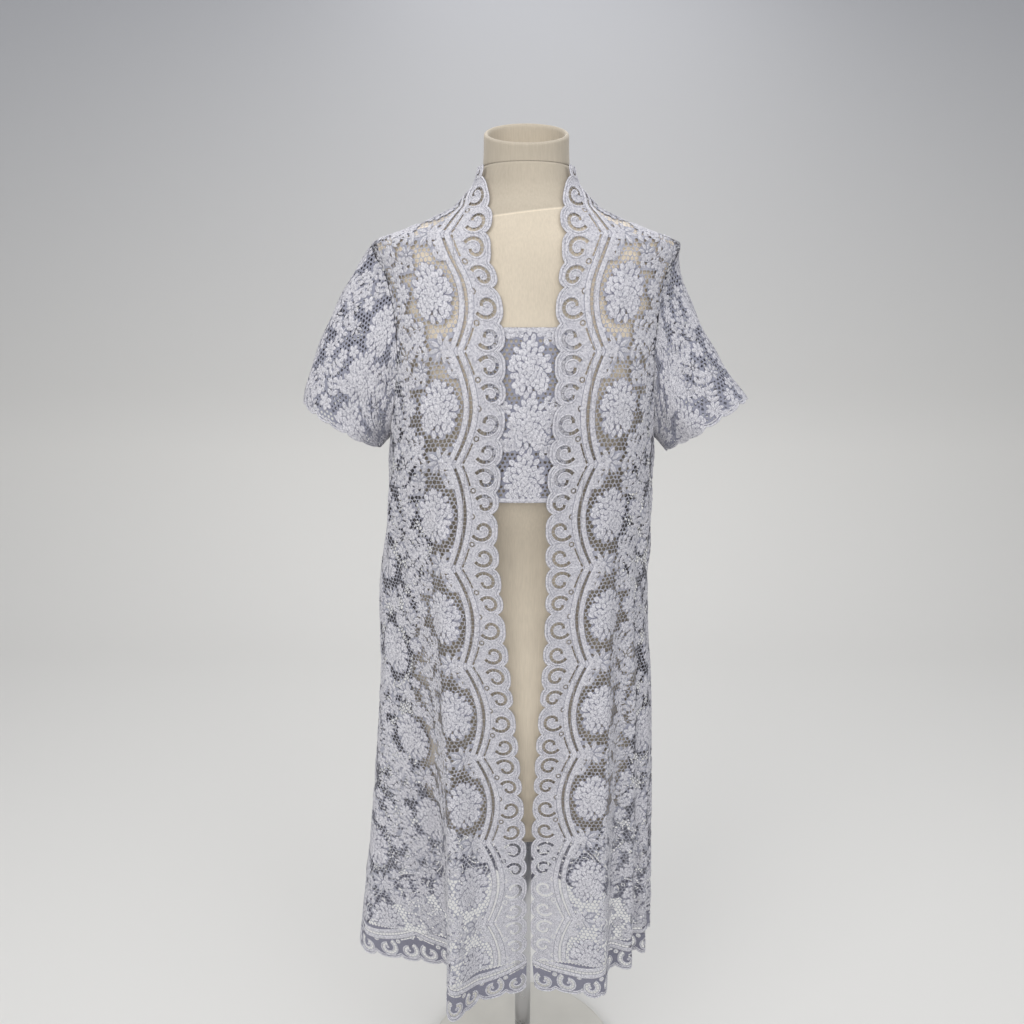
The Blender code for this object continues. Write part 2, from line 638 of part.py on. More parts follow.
def armhole(side, turn):
    """Angle round the body and height of the armhole's edge at turns, in degrees from its
    top, positive in front."""
    up = np.cos(np.radians(turn))
    across = np.sin(np.radians(turn))
    reach = np.where(across > 0, ARMHOLE_FRONT, ARMHOLE_BACK) * across
    z = (SHOULDER_Z + UNDERARM_Z) / 2 + up * (SHOULDER_Z - UNDERARM_Z) / 2
    return (90 - reach if side == "right" else 270 + reach), z


def sleeve_points(sleeve, turn, share):
    """Points of a sleeve's inner side at turns round it and shares of its length."""
    turn, share = np.broadcast_arrays(np.asarray(turn, float), np.asarray(share, float))
    step = 1.0
    angle, z = armhole(sleeve.side, turn)
    start = drape(angle, z)
    ahead = drape(*armhole(sleeve.side, turn + step)) - drape(*armhole(sleeve.side, turn - step))
    away = np.cross(ahead, outward(angle, z))
    away /= np.linalg.norm(away, axis=-1, keepdims=True)
    if sleeve.side == "left":
        away = -away
    start = start + SLEEVE_GAP * away
    cosine, sine = np.cos(np.radians(turn)), np.sin(np.radians(turn))
    middle_x, middle_z = (sleeve.outer_x + sleeve.inner_x) / 2, (sleeve.outer_z + sleeve.inner_z) / 2
    x = middle_x + cosine * (sleeve.outer_x - sleeve.inner_x) / 2
    y = -sleeve.deep * sine
    z = middle_z + cosine * (sleeve.outer_z - sleeve.inner_z) / 2
    z = z - sleeve.sag * np.abs(sine) - sleeve.drop * (1 - sine)
    end = np.stack([x, y, z], axis=-1)
    outer = ((1 + cosine) / 2)[..., None]
    spring = (UNDERARM_SPRING + SLEEVE_SPRING * outer) * away
    finish = SLEEVE_FINISH * (end - start)
    out = np.sign(sleeve.outer_x) * np.array([1.0, 0.0, 0.0])
    t = share[..., None]
    return (
        (2 * t**3 - 3 * t**2 + 1) * start
        + (t**3 - 2 * t**2 + t) * spring
        + (3 * t**2 - 2 * t**3) * end
        + (t**3 - t**2) * finish
        + sleeve.swell * outer * np.sin(math.pi * t) * out
    )


def sleeve_outward(sleeve, turn, share):
    """Unit vectors that point out of a sleeve."""
    across = sleeve_points(sleeve, turn + 1.0, share) - sleeve_points(sleeve, turn - 1.0, share)
    up = sleeve_points(sleeve, turn, np.clip(share + 0.01, 0, 1))
    up = up - sleeve_points(sleeve, turn, np.clip(share - 0.01, 0, 1))
    normal = np.cross(across, up)
    normal /= np.linalg.norm(normal, axis=-1, keepdims=True)
    return normal if sleeve.side == "right" else -normal


def make_sleeves():
    """Front and back half of each sleeve, from the armhole to the hem."""
    middle, half_tall = (SHOULDER_Z + UNDERARM_Z) / 2, (SHOULDER_Z - UNDERARM_Z) / 2
    ups = (np.array(armhole_heights()[::-1]) - middle) / half_tall
    turns = np.degrees(np.arccos(np.clip(ups, -1, 1)))
    turns[0], turns[-1] = SLEEVE_SPLIT, 180 - SLEEVE_SPLIT
    for sleeve in SLEEVES:
        for half, side in (("front", 1), ("back", -1)):
            turn, share = np.meshgrid(side * turns, SLEEVE_ROWS)
            inner = sleeve_points(sleeve, turn, share)
            outer = inner + CLOTH * sleeve_outward(sleeve, turn, share)
            cells = dict.fromkeys(SLEEVE_GAPS, SLEEVE_GAP_CELL)
            add_wall(f"sleeve_{sleeve.side}_{half}", inner, outer, cells)


def add_loft(name, rings, colour, roughness, metallic=0.0):
    """Closed solid through rings of equal point counts, capped at both ends."""
    count = len(rings[0])
    points = [p for one in rings for p in one]
    faces = []
    for i in range(len(rings) - 1):
        for j in range(count):
            a, b = i * count + j, i * count + (j + 1) % count
            faces.append([a, b, b + count, a + count])
    faces.append(list(range(count)))
    faces.append([(len(rings) - 1) * count + j for j in range(count)])
    return add_object(name, points, faces, colour, roughness, metallic)


def make_form():
    """Jersey-covered torso with plain round underside, and its neck with a sunk top."""
    angles = np.arange(0, 360, 360 / FORM_SIDES)
    levels = even_rows(FORM[0].z, YOKE_Z, FORM_ROW) + [1.300, SHOULDER_Z, *SLOPE_ROWS, TOP_Z]
    rings = []
    for z in levels:
        x, y = ring(FORM, angles, np.full(len(angles), z))
        rings.append(np.stack([x, y, np.full(len(angles), z)], axis=-1))
    add_loft("form_torso", rings, JERSEY_COLOUR, 0.9)
    turn = np.radians(np.arange(NECK_SIDES) * 360 / NECK_SIDES)
    rings = []
    for n in NECK:
        y = -np.where(np.cos(turn) > 0, n.front, n.back) * np.cos(turn)
        rings.append(np.stack([-n.half * np.sin(turn), y, n.z + n.lean * y], axis=-1))
    add_loft("form_neck", rings, JERSEY_COLOUR, 0.9)


def turned(profile, sides):
    """Rings of a turned shape from its (radius, height) profile."""
    turn = np.arange(sides) * 2 * math.pi / sides
    return [
        np.stack([r * np.cos(turn), r * np.sin(turn), np.full(sides, z)], axis=-1)
        for r, z in profile
    ]


def make_stand():
    """Round foot with a hub, and the pole between it and the form."""
    edge = FOOT_EDGE
    foot = [
        (FOOT_R - edge, 0.0), (FOOT_R, edge), (FOOT_R, FOOT_TALL - edge),
        (FOOT_R - edge, FOOT_TALL), (HUB_R + edge, FOOT_TALL + FOOT_RISE),
        (HUB_R, HUB_Z - edge), (HUB_R, HUB_Z),
    ]
    add_loft("form_foot", turned(foot, FOOT_SIDES), METAL_COLOUR, 0.35, 1.0)
    pole = [(POLE_R, HUB_Z + SEAM_GAP), (POLE_R, FORM[0].z - SEAM_GAP)]
    add_loft("form_pole", turned(pole, POLE_SIDES), METAL_COLOUR, 0.25, 1.0)


def main():
    """Build every piece in an empty scene."""
    for thing in list(bpy.data.objects):
        bpy.data.objects.remove(thing, do_unlink=True)
    make_body()
    make_borders()
    make_back_neck_border()
    make_hem_bands()
    make_centre_panel()
    make_sleeves()
    make_form()
    make_stand()


main()
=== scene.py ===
"""Lace kebaya blouse on a limbless dress form.

Lengths are in metres and +Z is up. Angles round the body run in degrees from the front's
centre (0) past the wearer's right side (90) and the back (180) to the left side (270). The lace
is drawn flat, across and up the cloth, as tiles that repeat, and is then laid on the drape.
"""

import math
from collections import namedtuple

import bpy
import numpy as np
from bpy.props import FloatProperty, FloatVectorProperty, PointerProperty
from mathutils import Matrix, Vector
from mathutils.geometry import delaunay_2d_cdt


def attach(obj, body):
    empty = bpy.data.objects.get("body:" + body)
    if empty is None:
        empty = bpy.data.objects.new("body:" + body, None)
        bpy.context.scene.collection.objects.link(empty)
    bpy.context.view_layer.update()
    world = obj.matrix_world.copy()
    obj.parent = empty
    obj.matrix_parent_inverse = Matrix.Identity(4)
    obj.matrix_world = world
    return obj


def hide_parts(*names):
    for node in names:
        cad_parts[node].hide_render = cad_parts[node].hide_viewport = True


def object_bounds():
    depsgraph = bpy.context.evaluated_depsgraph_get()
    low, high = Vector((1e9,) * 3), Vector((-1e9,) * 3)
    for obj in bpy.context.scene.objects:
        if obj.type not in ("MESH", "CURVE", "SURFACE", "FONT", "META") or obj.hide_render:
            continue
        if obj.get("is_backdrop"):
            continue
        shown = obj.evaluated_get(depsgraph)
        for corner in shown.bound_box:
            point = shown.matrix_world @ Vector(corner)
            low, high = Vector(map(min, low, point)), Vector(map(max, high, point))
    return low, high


bl_info = {
    "name": "Lace kebaya on a dress form",
    "version": (1, 0, 0),
    "blender": (4, 5, 0),
    "location": "3D View > Sidebar > Kebaya",
    "description": "Builds a lace kebaya blouse, the dress form under it and a plain studio",
    "category": "Object",
}

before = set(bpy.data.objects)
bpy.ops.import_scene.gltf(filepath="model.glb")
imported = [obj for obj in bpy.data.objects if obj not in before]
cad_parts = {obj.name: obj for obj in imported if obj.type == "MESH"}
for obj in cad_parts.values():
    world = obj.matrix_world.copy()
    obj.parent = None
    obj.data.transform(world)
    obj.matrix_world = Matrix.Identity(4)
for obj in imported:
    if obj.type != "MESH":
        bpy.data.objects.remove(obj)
CAD_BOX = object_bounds()

MM = 0.001
CLOTH = 0.0012  # the cloth's thickness in the frame
SEAM_GAP = 0.0003
JOIN = 0.00005  # between the border and the front, which are one cloth
SLEEVE_GAP = 0.0007
HEM_Z = 0.280
BAND_TALL = 0.055
BAND_TOP_Z = HEM_Z + BAND_TALL
BORDER_WIDE = 0.043
REPEAT = 0.130
FIELD_WIDE = 0.110
NECK_SEAM_Z = 1.353
TOP_Z = 1.400
FRONT_TOP_Z = 1.382
SHOULDER_Z = 1.312
UNDERARM_Z = 1.080
ARMHOLE_FRONT = 29.0
ARMHOLE_BACK = 30.0
PANEL_LOW, PANEL_HIGH = 1.014, 1.217
PANEL_TUCK = 0.022
PANEL_GAP = 0.0008
PANEL_START, SLEEVE_START = -0.030, (0.025, -0.052)  # where their fields begin
NECK_BORDER_Z, NECK_BORDER_WIDE = 1.407, 60.0  # its cloth's top, and its tile in millimetres
FIELD_REPEATS, STRIP_REPEATS = 10, 9
TORSO_PIECE = "form_torso_jersey"
MOTIF_THREAD = "lace motifs"

# Plain sections of the form and of the lace over it: half widths at the wearer's right and
# left, depths in front and behind, and how square the section is.
Ring = namedtuple("Ring", "z right left front back square")
FORM = [Ring(*row) for row in (
    (0.520, 0.138, 0.138, 0.086, 0.098, 2.2),
    (0.600, 0.152, 0.152, 0.094, 0.110, 2.2),
    (0.720, 0.159, 0.159, 0.098, 0.116, 2.2),
    (0.830, 0.149, 0.149, 0.093, 0.103, 2.2),
    (0.940, 0.124, 0.124, 0.084, 0.086, 2.1),
    (1.020, 0.138, 0.138, 0.101, 0.093, 2.2),
    (1.120, 0.152, 0.152, 0.1175, 0.101, 2.5),
    (1.180, 0.157, 0.157, 0.1120, 0.105, 2.5),
    (1.240, 0.164, 0.164, 0.0990, 0.104, 2.5),
    (1.285, 0.174, 0.174, 0.0880, 0.092, 2.4),
    (1.300, 0.1810, 0.1810, 0.0835, 0.0870, 2.3),
    (1.312, 0.1820, 0.1820, 0.0795, 0.0830, 2.2),
    (1.328, 0.1490, 0.1490, 0.0735, 0.0760, 2.1),
    (1.342, 0.1130, 0.1130, 0.0685, 0.0710, 2.0),
    (1.353, 0.0872, 0.0872, 0.0640, 0.0670, 2.0),
    (1.363, 0.0750, 0.0750, 0.0572, 0.0610, 2.0),
    (1.380, 0.0582, 0.0582, 0.0512, 0.0545, 2.0),
    (1.400, 0.0530, 0.0530, 0.0490, 0.0520, 2.0),
)]
LACE = [Ring(*row) for row in (
    (0.280, 0.2555, 0.1980, 0.1000, 0.1200, 2.0),
    (0.490, 0.2280, 0.1910, 0.1035, 0.1220, 2.0),
    (0.690, 0.2070, 0.1820, 0.1070, 0.1240, 2.1),
    (0.875, 0.1910, 0.1680, 0.1100, 0.1190, 2.2),
    (1.000, 0.1800, 0.1645, 0.1160, 0.1120, 2.3),
    (1.080, 0.1730, 0.1640, 0.1205, 0.1080, 2.5),
    (1.120, 0.1715, 0.1660, 0.1215, 0.1070, 2.5),
    (1.180, 0.1705, 0.1690, 0.1155, 0.1080, 2.5),
    (1.240, 0.1730, 0.1730, 0.1020, 0.1065, 2.5),
    (1.285, 0.1790, 0.1790, 0.0915, 0.0955, 2.4),
    (1.300, 0.1865, 0.1865, 0.0870, 0.0905, 2.3),
    (1.312, 0.1880, 0.1880, 0.0830, 0.0865, 2.2),
    (1.328, 0.1500, 0.1500, 0.0770, 0.0795, 2.1),
    (1.342, 0.1140, 0.1140, 0.0725, 0.0745, 2.0),
    (1.353, 0.0885, 0.0885, 0.0685, 0.0710, 2.0),
    (1.363, 0.0800, 0.0800, 0.0645, 0.0670, 2.0),
    (1.380, 0.0640, 0.0640, 0.0580, 0.0605, 2.0),
    (1.400, 0.0570, 0.0570, 0.0535, 0.0560, 2.0),
)]

# The fronts' edges: x of the scallops' tips at each height.
Edge = namedtuple("Edge", "z right left")
EDGES = [Edge(*row) for row in (
    (0.280, 0.003, 0.016),
    (0.385, 0.004, 0.009),
    (0.500, 0.003, 0.0085),
    (0.660, -0.007, 0.013),
    (0.775, -0.018, 0.020),
    (0.885, -0.028, 0.024),
    (0.980, -0.034, 0.023),
    (1.060, -0.029, 0.025),
    (1.140, -0.024, 0.031),
    (1.215, -0.025, 0.031),
    (1.260, -0.031, 0.034),
    (1.305, -0.041, 0.039),
    (1.345, -0.039, 0.037),
    (1.372, -0.045, 0.043),
    (1.400, -0.0500, 0.0490),
)]

# The hem's folds: angle round the body, place at the hem, and where the fold starts.
Fold = namedtuple("Fold", "angle x y start")
FOLDS = [Fold(*row) for row in (
    (-0.7, 0.003, -0.100, 1.05),
    (20, -0.063, -0.120, 1.05),
    (31, -0.102, -0.152, 1.10),
    (42, -0.108, -0.102, 1.08),
    (52, -0.113, -0.058, 1.00),
    (60, -0.142, -0.053, 1.00),
    (71, -0.193, -0.044, 1.02),
    (82, -0.243, -0.031, 1.04),
    (90, -0.2555, 0.000, 1.05),
    (100, -0.243, 0.036, 1.04),
    (114, -0.196, 0.074, 1.02),
    (127, -0.152, 0.086, 1.06),
    (140, -0.120, 0.134, 1.12),
    (153, -0.080, 0.106, 1.02),
    (167, -0.046, 0.143, 1.10),
    (181, 0.002, 0.112, 1.00),
    (195, 0.044, 0.140, 1.12),
    (209, 0.084, 0.104, 1.04),
    (222, 0.113, 0.128, 1.10),
    (236, 0.141, 0.082, 1.02),
    (250, 0.174, 0.070, 1.02),
    (261, 0.194, 0.044, 1.02),
    (270, 0.203, 0.018, 1.02),
    (279, 0.187, 0.001, 1.00),
    (288, 0.186, -0.033, 0.98),
    (298, 0.163, -0.031, 0.98),
    (306, 0.160, -0.063, 1.02),
    (315, 0.129, -0.063, 1.00),
    (327, 0.112, -0.113, 1.10),
    (340, 0.061, -0.105, 1.05),
    (355.4, 0.016, -0.100, 1.05),
)]
FOLD_GROWTH = 1.12

# Soft creases from one place (angle, z) to another: half width in degrees and height.
Crease = namedtuple("Crease", "from_angle from_z to_angle to_z wide height")
CREASES = [Crease(*row) for row in (
    (34, 1.130, 84, 0.860, 9.0, 0.0060),
    (46, 1.050, 88, 0.780, 8.0, -0.0060),
    (96, 0.960, 86, 0.760, 9.0, 0.0070),
    (326, 1.120, 282, 0.900, 9.0, 0.0050),
    (310, 1.040, 278, 0.760, 8.0, -0.0050),
    (128, 1.060, 152, 0.800, 8.0, -0.0060),
    (236, 1.080, 208, 0.820, 8.0, -0.0060),
)]
# The small ones, as uneven as the cloth's own.
SMALL_CREASES = [Crease(*row) for row in (
    (58, 1.110, 76, 0.930, 3.2, 0.0026),
    (66, 1.080, 82, 0.700, 2.6, 0.0022),
    (74, 1.070, 88, 0.560, 3.0, -0.0024),
    (52, 1.020, 60, 0.640, 2.4, 0.0020),
    (37, 1.000, 34, 0.420, 2.2, 0.0016),
    (15, 0.940, 12, 0.430, 2.6, -0.0015),
    (94, 1.050, 99, 0.620, 3.4, 0.0028),
    (104, 1.090, 118, 0.840, 3.0, 0.0024),
    (112, 0.900, 108, 0.440, 3.2, -0.0026),
    (134, 1.180, 126, 0.960, 3.4, 0.0022),
    (147, 1.000, 146, 0.520, 2.8, 0.0024),
    (160, 1.130, 172, 0.880, 3.2, 0.0020),
    (174, 0.980, 174, 0.460, 2.6, -0.0022),
    (188, 1.220, 184, 1.020, 4.0, 0.0014),
    (201, 1.060, 204, 0.600, 2.8, 0.0022),
    (216, 1.020, 214, 0.500, 3.0, -0.0024),
    (229, 1.150, 236, 0.930, 3.4, 0.0022),
    (244, 1.060, 240, 0.600, 2.8, 0.0024),
    (256, 1.100, 262, 0.780, 3.2, 0.0026),
    (266, 1.060, 268, 0.520, 2.6, -0.0022),
    (276, 1.090, 284, 0.880, 3.0, 0.0024),
    (294, 1.060, 292, 0.640, 2.8, 0.0022),
    (303, 1.000, 302, 0.500, 2.4, -0.0018),
    (322, 0.960, 330, 0.560, 2.8, 0.0018),
    (344, 0.900, 342, 0.420, 2.6, -0.0014),
)]

# Scallops of one repeat of the border: share of it, and the depth of the notch after each.
Scallop = namedtuple("Scallop", "share notch")
SCALLOPS = [Scallop(*row) for row in (
    (0.235, 0.0065),
    (0.305, 0.0085),
    (0.205, 0.0050),
    (0.255, 0.0075),
)]

# Sleeves' hems: outer and inner corners, half depth, how much lower the back hangs, sag
# between the corners, and how far the outer side swells out or falls in.
Sleeve = namedtuple("Sleeve", "side outer_x outer_z inner_x inner_z deep drop sag swell")
SLEEVES = [Sleeve(*row) for row in (
    ("right", -0.2850, 1.124, -0.1905, 1.066, 0.047, 0.004, 0.003, 0.015),
    ("left", 0.2850, 1.138, 0.1880, 1.072, 0.050, 0.014, 0.006, -0.015),
)]
SLEEVE_SPRING, UNDERARM_SPRING = 0.040, 0.010
SLEEVE_FINISH = 0.6
SLEEVE_FOLD_LONG, SLEEVE_FOLD_START = 0.30, 0.125  # shares of the sleeve's length

# Folds of a sleeve: turn round it, where along it they are strongest, half width and height.
SleeveFold = namedtuple("SleeveFold", "turn share wide height")
SLEEVE_FOLDS = {
    "right": (
        (66, 0.62, 14, 0.0030),
        (96, 0.70, 12, -0.0032),
        (124, 0.62, 12, 0.0034),
        (28, 0.80, 12, -0.0018),
        (-50, 0.70, 15, 0.0028),
        (-84, 0.66, 12, -0.0030),
        (-118, 0.60, 13, 0.0032),
    ),
    "left": (
        (52, 0.74, 13, 0.0026),
        (84, 0.66, 12, -0.0032),
        (112, 0.70, 12, 0.0036),
        (138, 0.60, 10, -0.0022),
        (-40, 0.72, 14, 0.0024),
        (-76, 0.64, 13, -0.0030),
        (-110, 0.68, 12, 0.0030),
    ),
}

# Rings of the neck, up its outside, over its rim and down inside: height, rise to the back for
# each length, half width, and depths in front and behind.
Neck = namedtuple("Neck", "z lean half front back")
NECK = [Neck(*row) for row in (
    (TOP_Z + SEAM_GAP, 0.00, 0.0520, 0.0485, 0.0515),
    (1.419, 0.26, 0.0510, 0.0486, 0.0505),
    (1.4365, 0.42, 0.0506, 0.0490, 0.0500),
    (1.4390, 0.42, 0.0480, 0.0465, 0.0475),
    (1.4365, 0.42, 0.0455, 0.0440, 0.0450),
    (1.4180, 0.30, 0.0440, 0.0425, 0.0435),
)]
POLE_R = 0.0125
FOOT_R, FOOT_TALL = 0.165, 0.020
FOOT_EDGE = 0.006
FOOT_RISE = 0.002
HUB_R, HUB_Z, HUB_EDGE = 0.026, 0.032, 0.0015

# The lace's drawing, in millimetres across the cloth from the border's tips and up it.
TALL, WIDE = REPEAT / MM, 2 * FIELD_WIDE / MM  # one tile of the field
# The border's ground: the step of its points, no hole's half size, its least margin, least area.
SHEET_STEP, HOLE_REACH, HOLE_MARGIN, LEAST_HOLE = 5.0, 6.0, 0.25, 0.8
ARC_BELLY, ARC_CUSP, ARC_POWER = 40.0, 58.0, 1.8  # ladder between the two stripes
STRIPE_AWAY = 5.4
CUSP_AWAY, CUSP_WIDE, CUSP_SHARE = 11.2, 2.2, 0.21  # slots beside the arcs' cusps
LADDER_WIDE, RUNG_STEP, RUNG = 3.6, 5.2, 0.6
SLOT_WIDE, SLOT_STEP, SLOT_BAR = 3.9, 4.6, 0.5
CELL, CELL_ROW = 5.5, 5.0  # the net's hexagons, a whole number of them in a tile
OPEN = (0.84, 0.68)  # a hexagon's hole as a share of it: clear of the motifs, and beside them
DENSE = (0.62, 0.44)  # the same on the sleeves and the centre panel
# How far out of a motif's middle, its outline being 1, the net is left away, closed, given
# painted shade and half open, and how much the last one wanders.
HIDDEN, CLOSED, SHADED, HALF_OPEN, WANDER = 0.45, 0.84, 0.95, 1.22, 0.25
STRAY = 0.85  # how far the net's corners lie from a regular net's
SHADES = (0.68, 0.79)  # how dark the open field's net is, and the painted shade on the ground under its motifs
# painted shade: the net of the sleeves and the centre panel, and the ground under their motifs, are
# darker
DENSE_PAINTED_SHADES = (0.83, 0.87)
# painted shade: the hem bands' ground is darker than the borders'
BORDER_SHADE, BAND_PAINTED_SHADE = 0.68, 0.84
CORD_GRAIN = 0.12  # a cord's grain for each millimetre, as a petal's is 1 for its length
# Cords as (width, height): the stripes, the stems, beside the scrolls and on the panel's edges.
STRIPE_CORD, STEM_CORD, SCROLL_CORD, PANEL_CORD = (7.2, 0.85), (1.6, 0.7), (2.4, 0.9), (6.0, 0.9)
SCROLL_AWAY, PANEL_CORD_AWAY = 3.2, 0.003
# Cords along an outline as (place, width, height): the border's, and the sleeves' with its
# place in metres.
EDGE_CORDS = [(1.6, 3.2, 1.0), (5.0, 2.2, 0.7)]
SLEEVE_CORDS = [(0.0015, 3.0, 1.0), (0.0052, 1.9, 0.7)]

# Scrolls of one repeat of the border: middle, radius, where the curl starts and how far it goes.
Hook = namedtuple("Hook", "across up radius start sweep")
HOOKS = [Hook(*row) for row in (
    (19.0, 15.0, 9.0, -30, -330),
    (19.0, 49.5, 9.8, -30, -330),
    (17.5, 82.0, 8.2, 30, 330),
    (19.0, 112.5, 9.2, 30, 330),
)]
HOOK_OUT, HOOK_IN = 1.42, 0.92  # the curl's first radius, and how much it loses by its end
# Small rings between the scrolls and the stripes: across, up and radius.
RINGS = [(32.0, 31.0, 3.1), (31.5, 66.0, 3.4), (32.0, 98.5, 3.1), (43.0, 123.5, 2.6),
         (43.0, 6.5, 2.6)]
RING_SLOTS = (1.7, 3.2, 0.5)

# Rings of petals of the large flower, each over the one outside it: the tips' reach and the
# petals' number. Then how tall it is for its width, a ring's lift, and a petal's length and lap.
LARGE = [(25.5, 22), (20.4, 18), (15.2, 14), (10.2, 10), (5.6, 6)]
LARGE_STRETCH, LARGE_STEP, PETAL_LONG, PETAL_LAP = 1.36, 0.40, 11.6, 1.06
# The other flowers of a column, from the middle of its large one.
Flower = namedtuple("Flower", "across up size petals kind")
FLOWERS = [Flower(*row) for row in (
    (-6, -62, 19, 8, "pointed"),
    (-28, -44, 9, 5, "round"),
    (24, -50, 10, 6, "round"),
    (-28, 43, 10, 6, "round"),
    (22, 45, 12, 7, "pointed"),
    (41, 4, 12, 8, "round"),
    (37, -26, 8, 5, "round"),
    (38, 32, 8, 5, "round"),
    (45, 62, 13, 7, "pointed"),
    (-43, 12, 11, 6, "round"),
    (-44, -20, 12, 7, "pointed"),
    (-42, -56, 9, 5, "round"),
)]
# Stems as (across, up) points of the same column.
STEMS = [
    [(16, -36), (26, -38), (36, -42), (44, -50)],
    [(16, 36), (28, 34), (40, 42), (48, 48)],
    [(-16, 37), (-22, 48), (-20, 58), (-12, 66)],
    [(12, -64), (22, -66), (32, -64), (36, -58)],
    [(44, 14), (50, 22), (50, 34), (56, 44)],
    [(44, -6), (50, -16), (48, -30), (52, -42)],
    [(-36, 24), (-40, 36), (-46, 46), (-44, 60)],
]
# Shares of a small flower's size: its eye, where its petals start, and their joint width.
EYE, PETAL_START, PETALS_WIDE = 0.34, 0.16, {"pointed": 2.6, "round": 4.3}
# Along a stem: the leaves' step, length, width and turn from it, and the bud at its end.
LEAF_STEP, LEAF_LONG, LEAF_WIDE, LEAF_TURN, BUD_LONG, BUD_WIDE = 8.5, 12.0, 6.4, 0.85, 9.0, 6.5
FIRST_COLUMN = 80.0  # middle of the first column's large flowers, from the border's tips
COLUMNS = [(FIRST_COLUMN, TALL / 2), (FIRST_COLUMN + WIDE / 2, 0.0)]  # a tile's two columns

# The jersey's painted shade above the neck's seam and painted light under the lace, as shares,
# the seam's height and how much it rises across the body.
NECK_PAINTED_SHADE, COVERED_PAINTED_LIGHT, NECK_LINE, NECK_TILT = 0.78, 1.55, 1.344, 0.12
CLOTH_STEP = 0.004
MERGE = 0.02 * MM  # how near the tiles' points join
UNTRIMMED = 0.01  # how far past the tips the borders are drawn
SLIVER = 1e-10  # twice the area of the smallest triangle that is kept

# The studio's lamps: place, size, power in watts and colour, all aimed at the blouse's middle.
Lamp = namedtuple("Lamp", "name place size power colour")
LAMPS = [Lamp(*row) for row in (
    ("key_left", (-1.7, -2.2, 2.6), 1.8, 30.0, (1.0, 0.99, 0.97)),
    ("key_right", (1.9, -1.9, 2.4), 1.8, 16.0, (0.98, 0.99, 1.0)),
    ("front", (0.0, -3.4, 1.7), 1.6, 23.0, (1.0, 0.99, 0.98)),
    ("top", (0.0, -0.6, 3.2), 2.2, 22.0, (1.0, 1.0, 1.0)),
    ("back", (0.2, 1.7, 3.3), 1.6, 32.0, (1.0, 1.0, 1.0)),
)]
LAMP_AIM = Vector((0.0, 0.0, 0.9))
SKY, SKY_STRENGTH = (0.90, 0.92, 0.95, 1), 0.50
CAMERA_PLACE, CAMERA_TILT = (-0.0172, -1.00, 1.24), 75
CAMERA_SENSOR, CAMERA_LENS = 36.0, 769 / 1024  # the lens as a share of the sensor
# The backdrop: half its width, its front end, where it bends up and how widely, and its top.
FLOOR_HALF, FLOOR_FRONT, BEND_START, BEND_R, WALL_TOP = 5.0, -4.0, 1.6, 0.9, 5.0


# ---------------- drape


def smooth(xs, ys, x):
    """Curve through the points (xs, ys) that never overshoots them, read at x."""
    xs, ys, x = (np.asarray(a, float) for a in (xs, ys, x))
    step = np.diff(xs)
    slope = np.diff(ys) / step
    before, after = slope[:-1], slope[1:]
    same = before * after > 0
    lean = np.zeros(len(xs))
    lean[1:-1][same] = 2 * before[same] * after[same] / (before[same] + after[same])
    lean[0], lean[-1] = slope[0], slope[-1]
    k = np.clip(np.searchsorted(xs, x) - 1, 0, len(xs) - 2)
    t = np.clip((x - xs[k]) / step[k], 0, 1)
    rise = ys[k + 1] - ys[k]
    a = step[k] * lean[k] - rise
    b = rise - step[k] * lean[k + 1]
    return ys[k] + t * rise + t * (1 - t) * ((1 - t) * a + t * b)


def column(rows, name, z):
    """One column of a table, read at the heights z."""
    return smooth([r.z for r in rows], [getattr(r, name) for r in rows], z)


def ring(rows, angle, z):
    """Points (x, y) of a table's plain section at the angles and heights."""
    turn = np.radians(angle)
    across, ahead = np.sin(turn), np.cos(turn)
    half = np.where(across > 0, column(rows, "right", z), column(rows, "left", z))
    deep = np.where(ahead > 0, column(rows, "front", z), column(rows, "back", z))
    power = 2 / column(rows, "square", z)
    x = -half * np.sign(across) * np.abs(across) ** power
    y = -deep * np.sign(ahead) * np.abs(ahead) ** power
    return x, y


FOLD_ANGLES, FOLD_X, FOLD_Y, FOLD_STARTS = np.array(FOLDS, float).T
PLAIN_X, PLAIN_Y = ring(LACE, FOLD_ANGLES, np.full(len(FOLDS), HEM_Z))


def crease_height(creases, angle, z):
    """Sum of the creases at the angles and heights."""
    total = np.zeros(np.broadcast(angle, z).shape)
    for c in creases:
        along = np.clip((z - c.from_z) / (c.to_z - c.from_z), 0, 1)
        centre = c.from_angle + along * (c.to_angle - c.from_angle)
        total += c.height * np.sin(math.pi * along) * np.exp(-(((angle - centre) / c.wide) ** 2))
    return total


def drape(angle, z, creases=CREASES):
    """Points of the lace's inner side at an angle, or at angles, round one level z."""
    angle = np.asarray(angle, float)
    x, y = ring(LACE, angle, np.full(angle.shape, z))
    low = max(z, HEM_Z)
    if low < FOLD_STARTS.max():
        growth = np.clip((FOLD_STARTS - low) / (FOLD_STARTS - HEM_Z), 0, 1) ** FOLD_GROWTH
        x = x + smooth(FOLD_ANGLES, (FOLD_X - PLAIN_X) * growth, angle)
        y = y + smooth(FOLD_ANGLES, (FOLD_Y - PLAIN_Y) * growth, angle)
    turn = np.radians(angle)
    out = crease_height(creases, angle, z)
    return np.stack([x - out * np.sin(turn), y - out * np.cos(turn), np.full(x.shape, z)], -1)


def edge_angle(side, z):
    """Angle at which a front has its edge at a height."""
    low, high = (-20, 70) if side == "right" else (290, 380)
    angles = np.linspace(low, high, 361)
    return float(np.interp(-column(EDGES, side, z), -drape(angles, z)[:, 0], angles))


def armhole_reach(z):
    """Share of the armhole's width at a height: 1 at its middle, 0 at its ends."""
    middle, half = (SHOULDER_Z + UNDERARM_Z) / 2, (SHOULDER_Z - UNDERARM_Z) / 2
    return math.sqrt(max(0.0, 1 - ((z - middle) / half) ** 2))


def lengths_along(points):
    """Lengths down the first axis of some points, up to each of them."""
    steps = np.linalg.norm(np.diff(points, axis=0), axis=-1)
    return np.concatenate([np.zeros_like(steps[:1]), np.cumsum(steps, axis=0)])


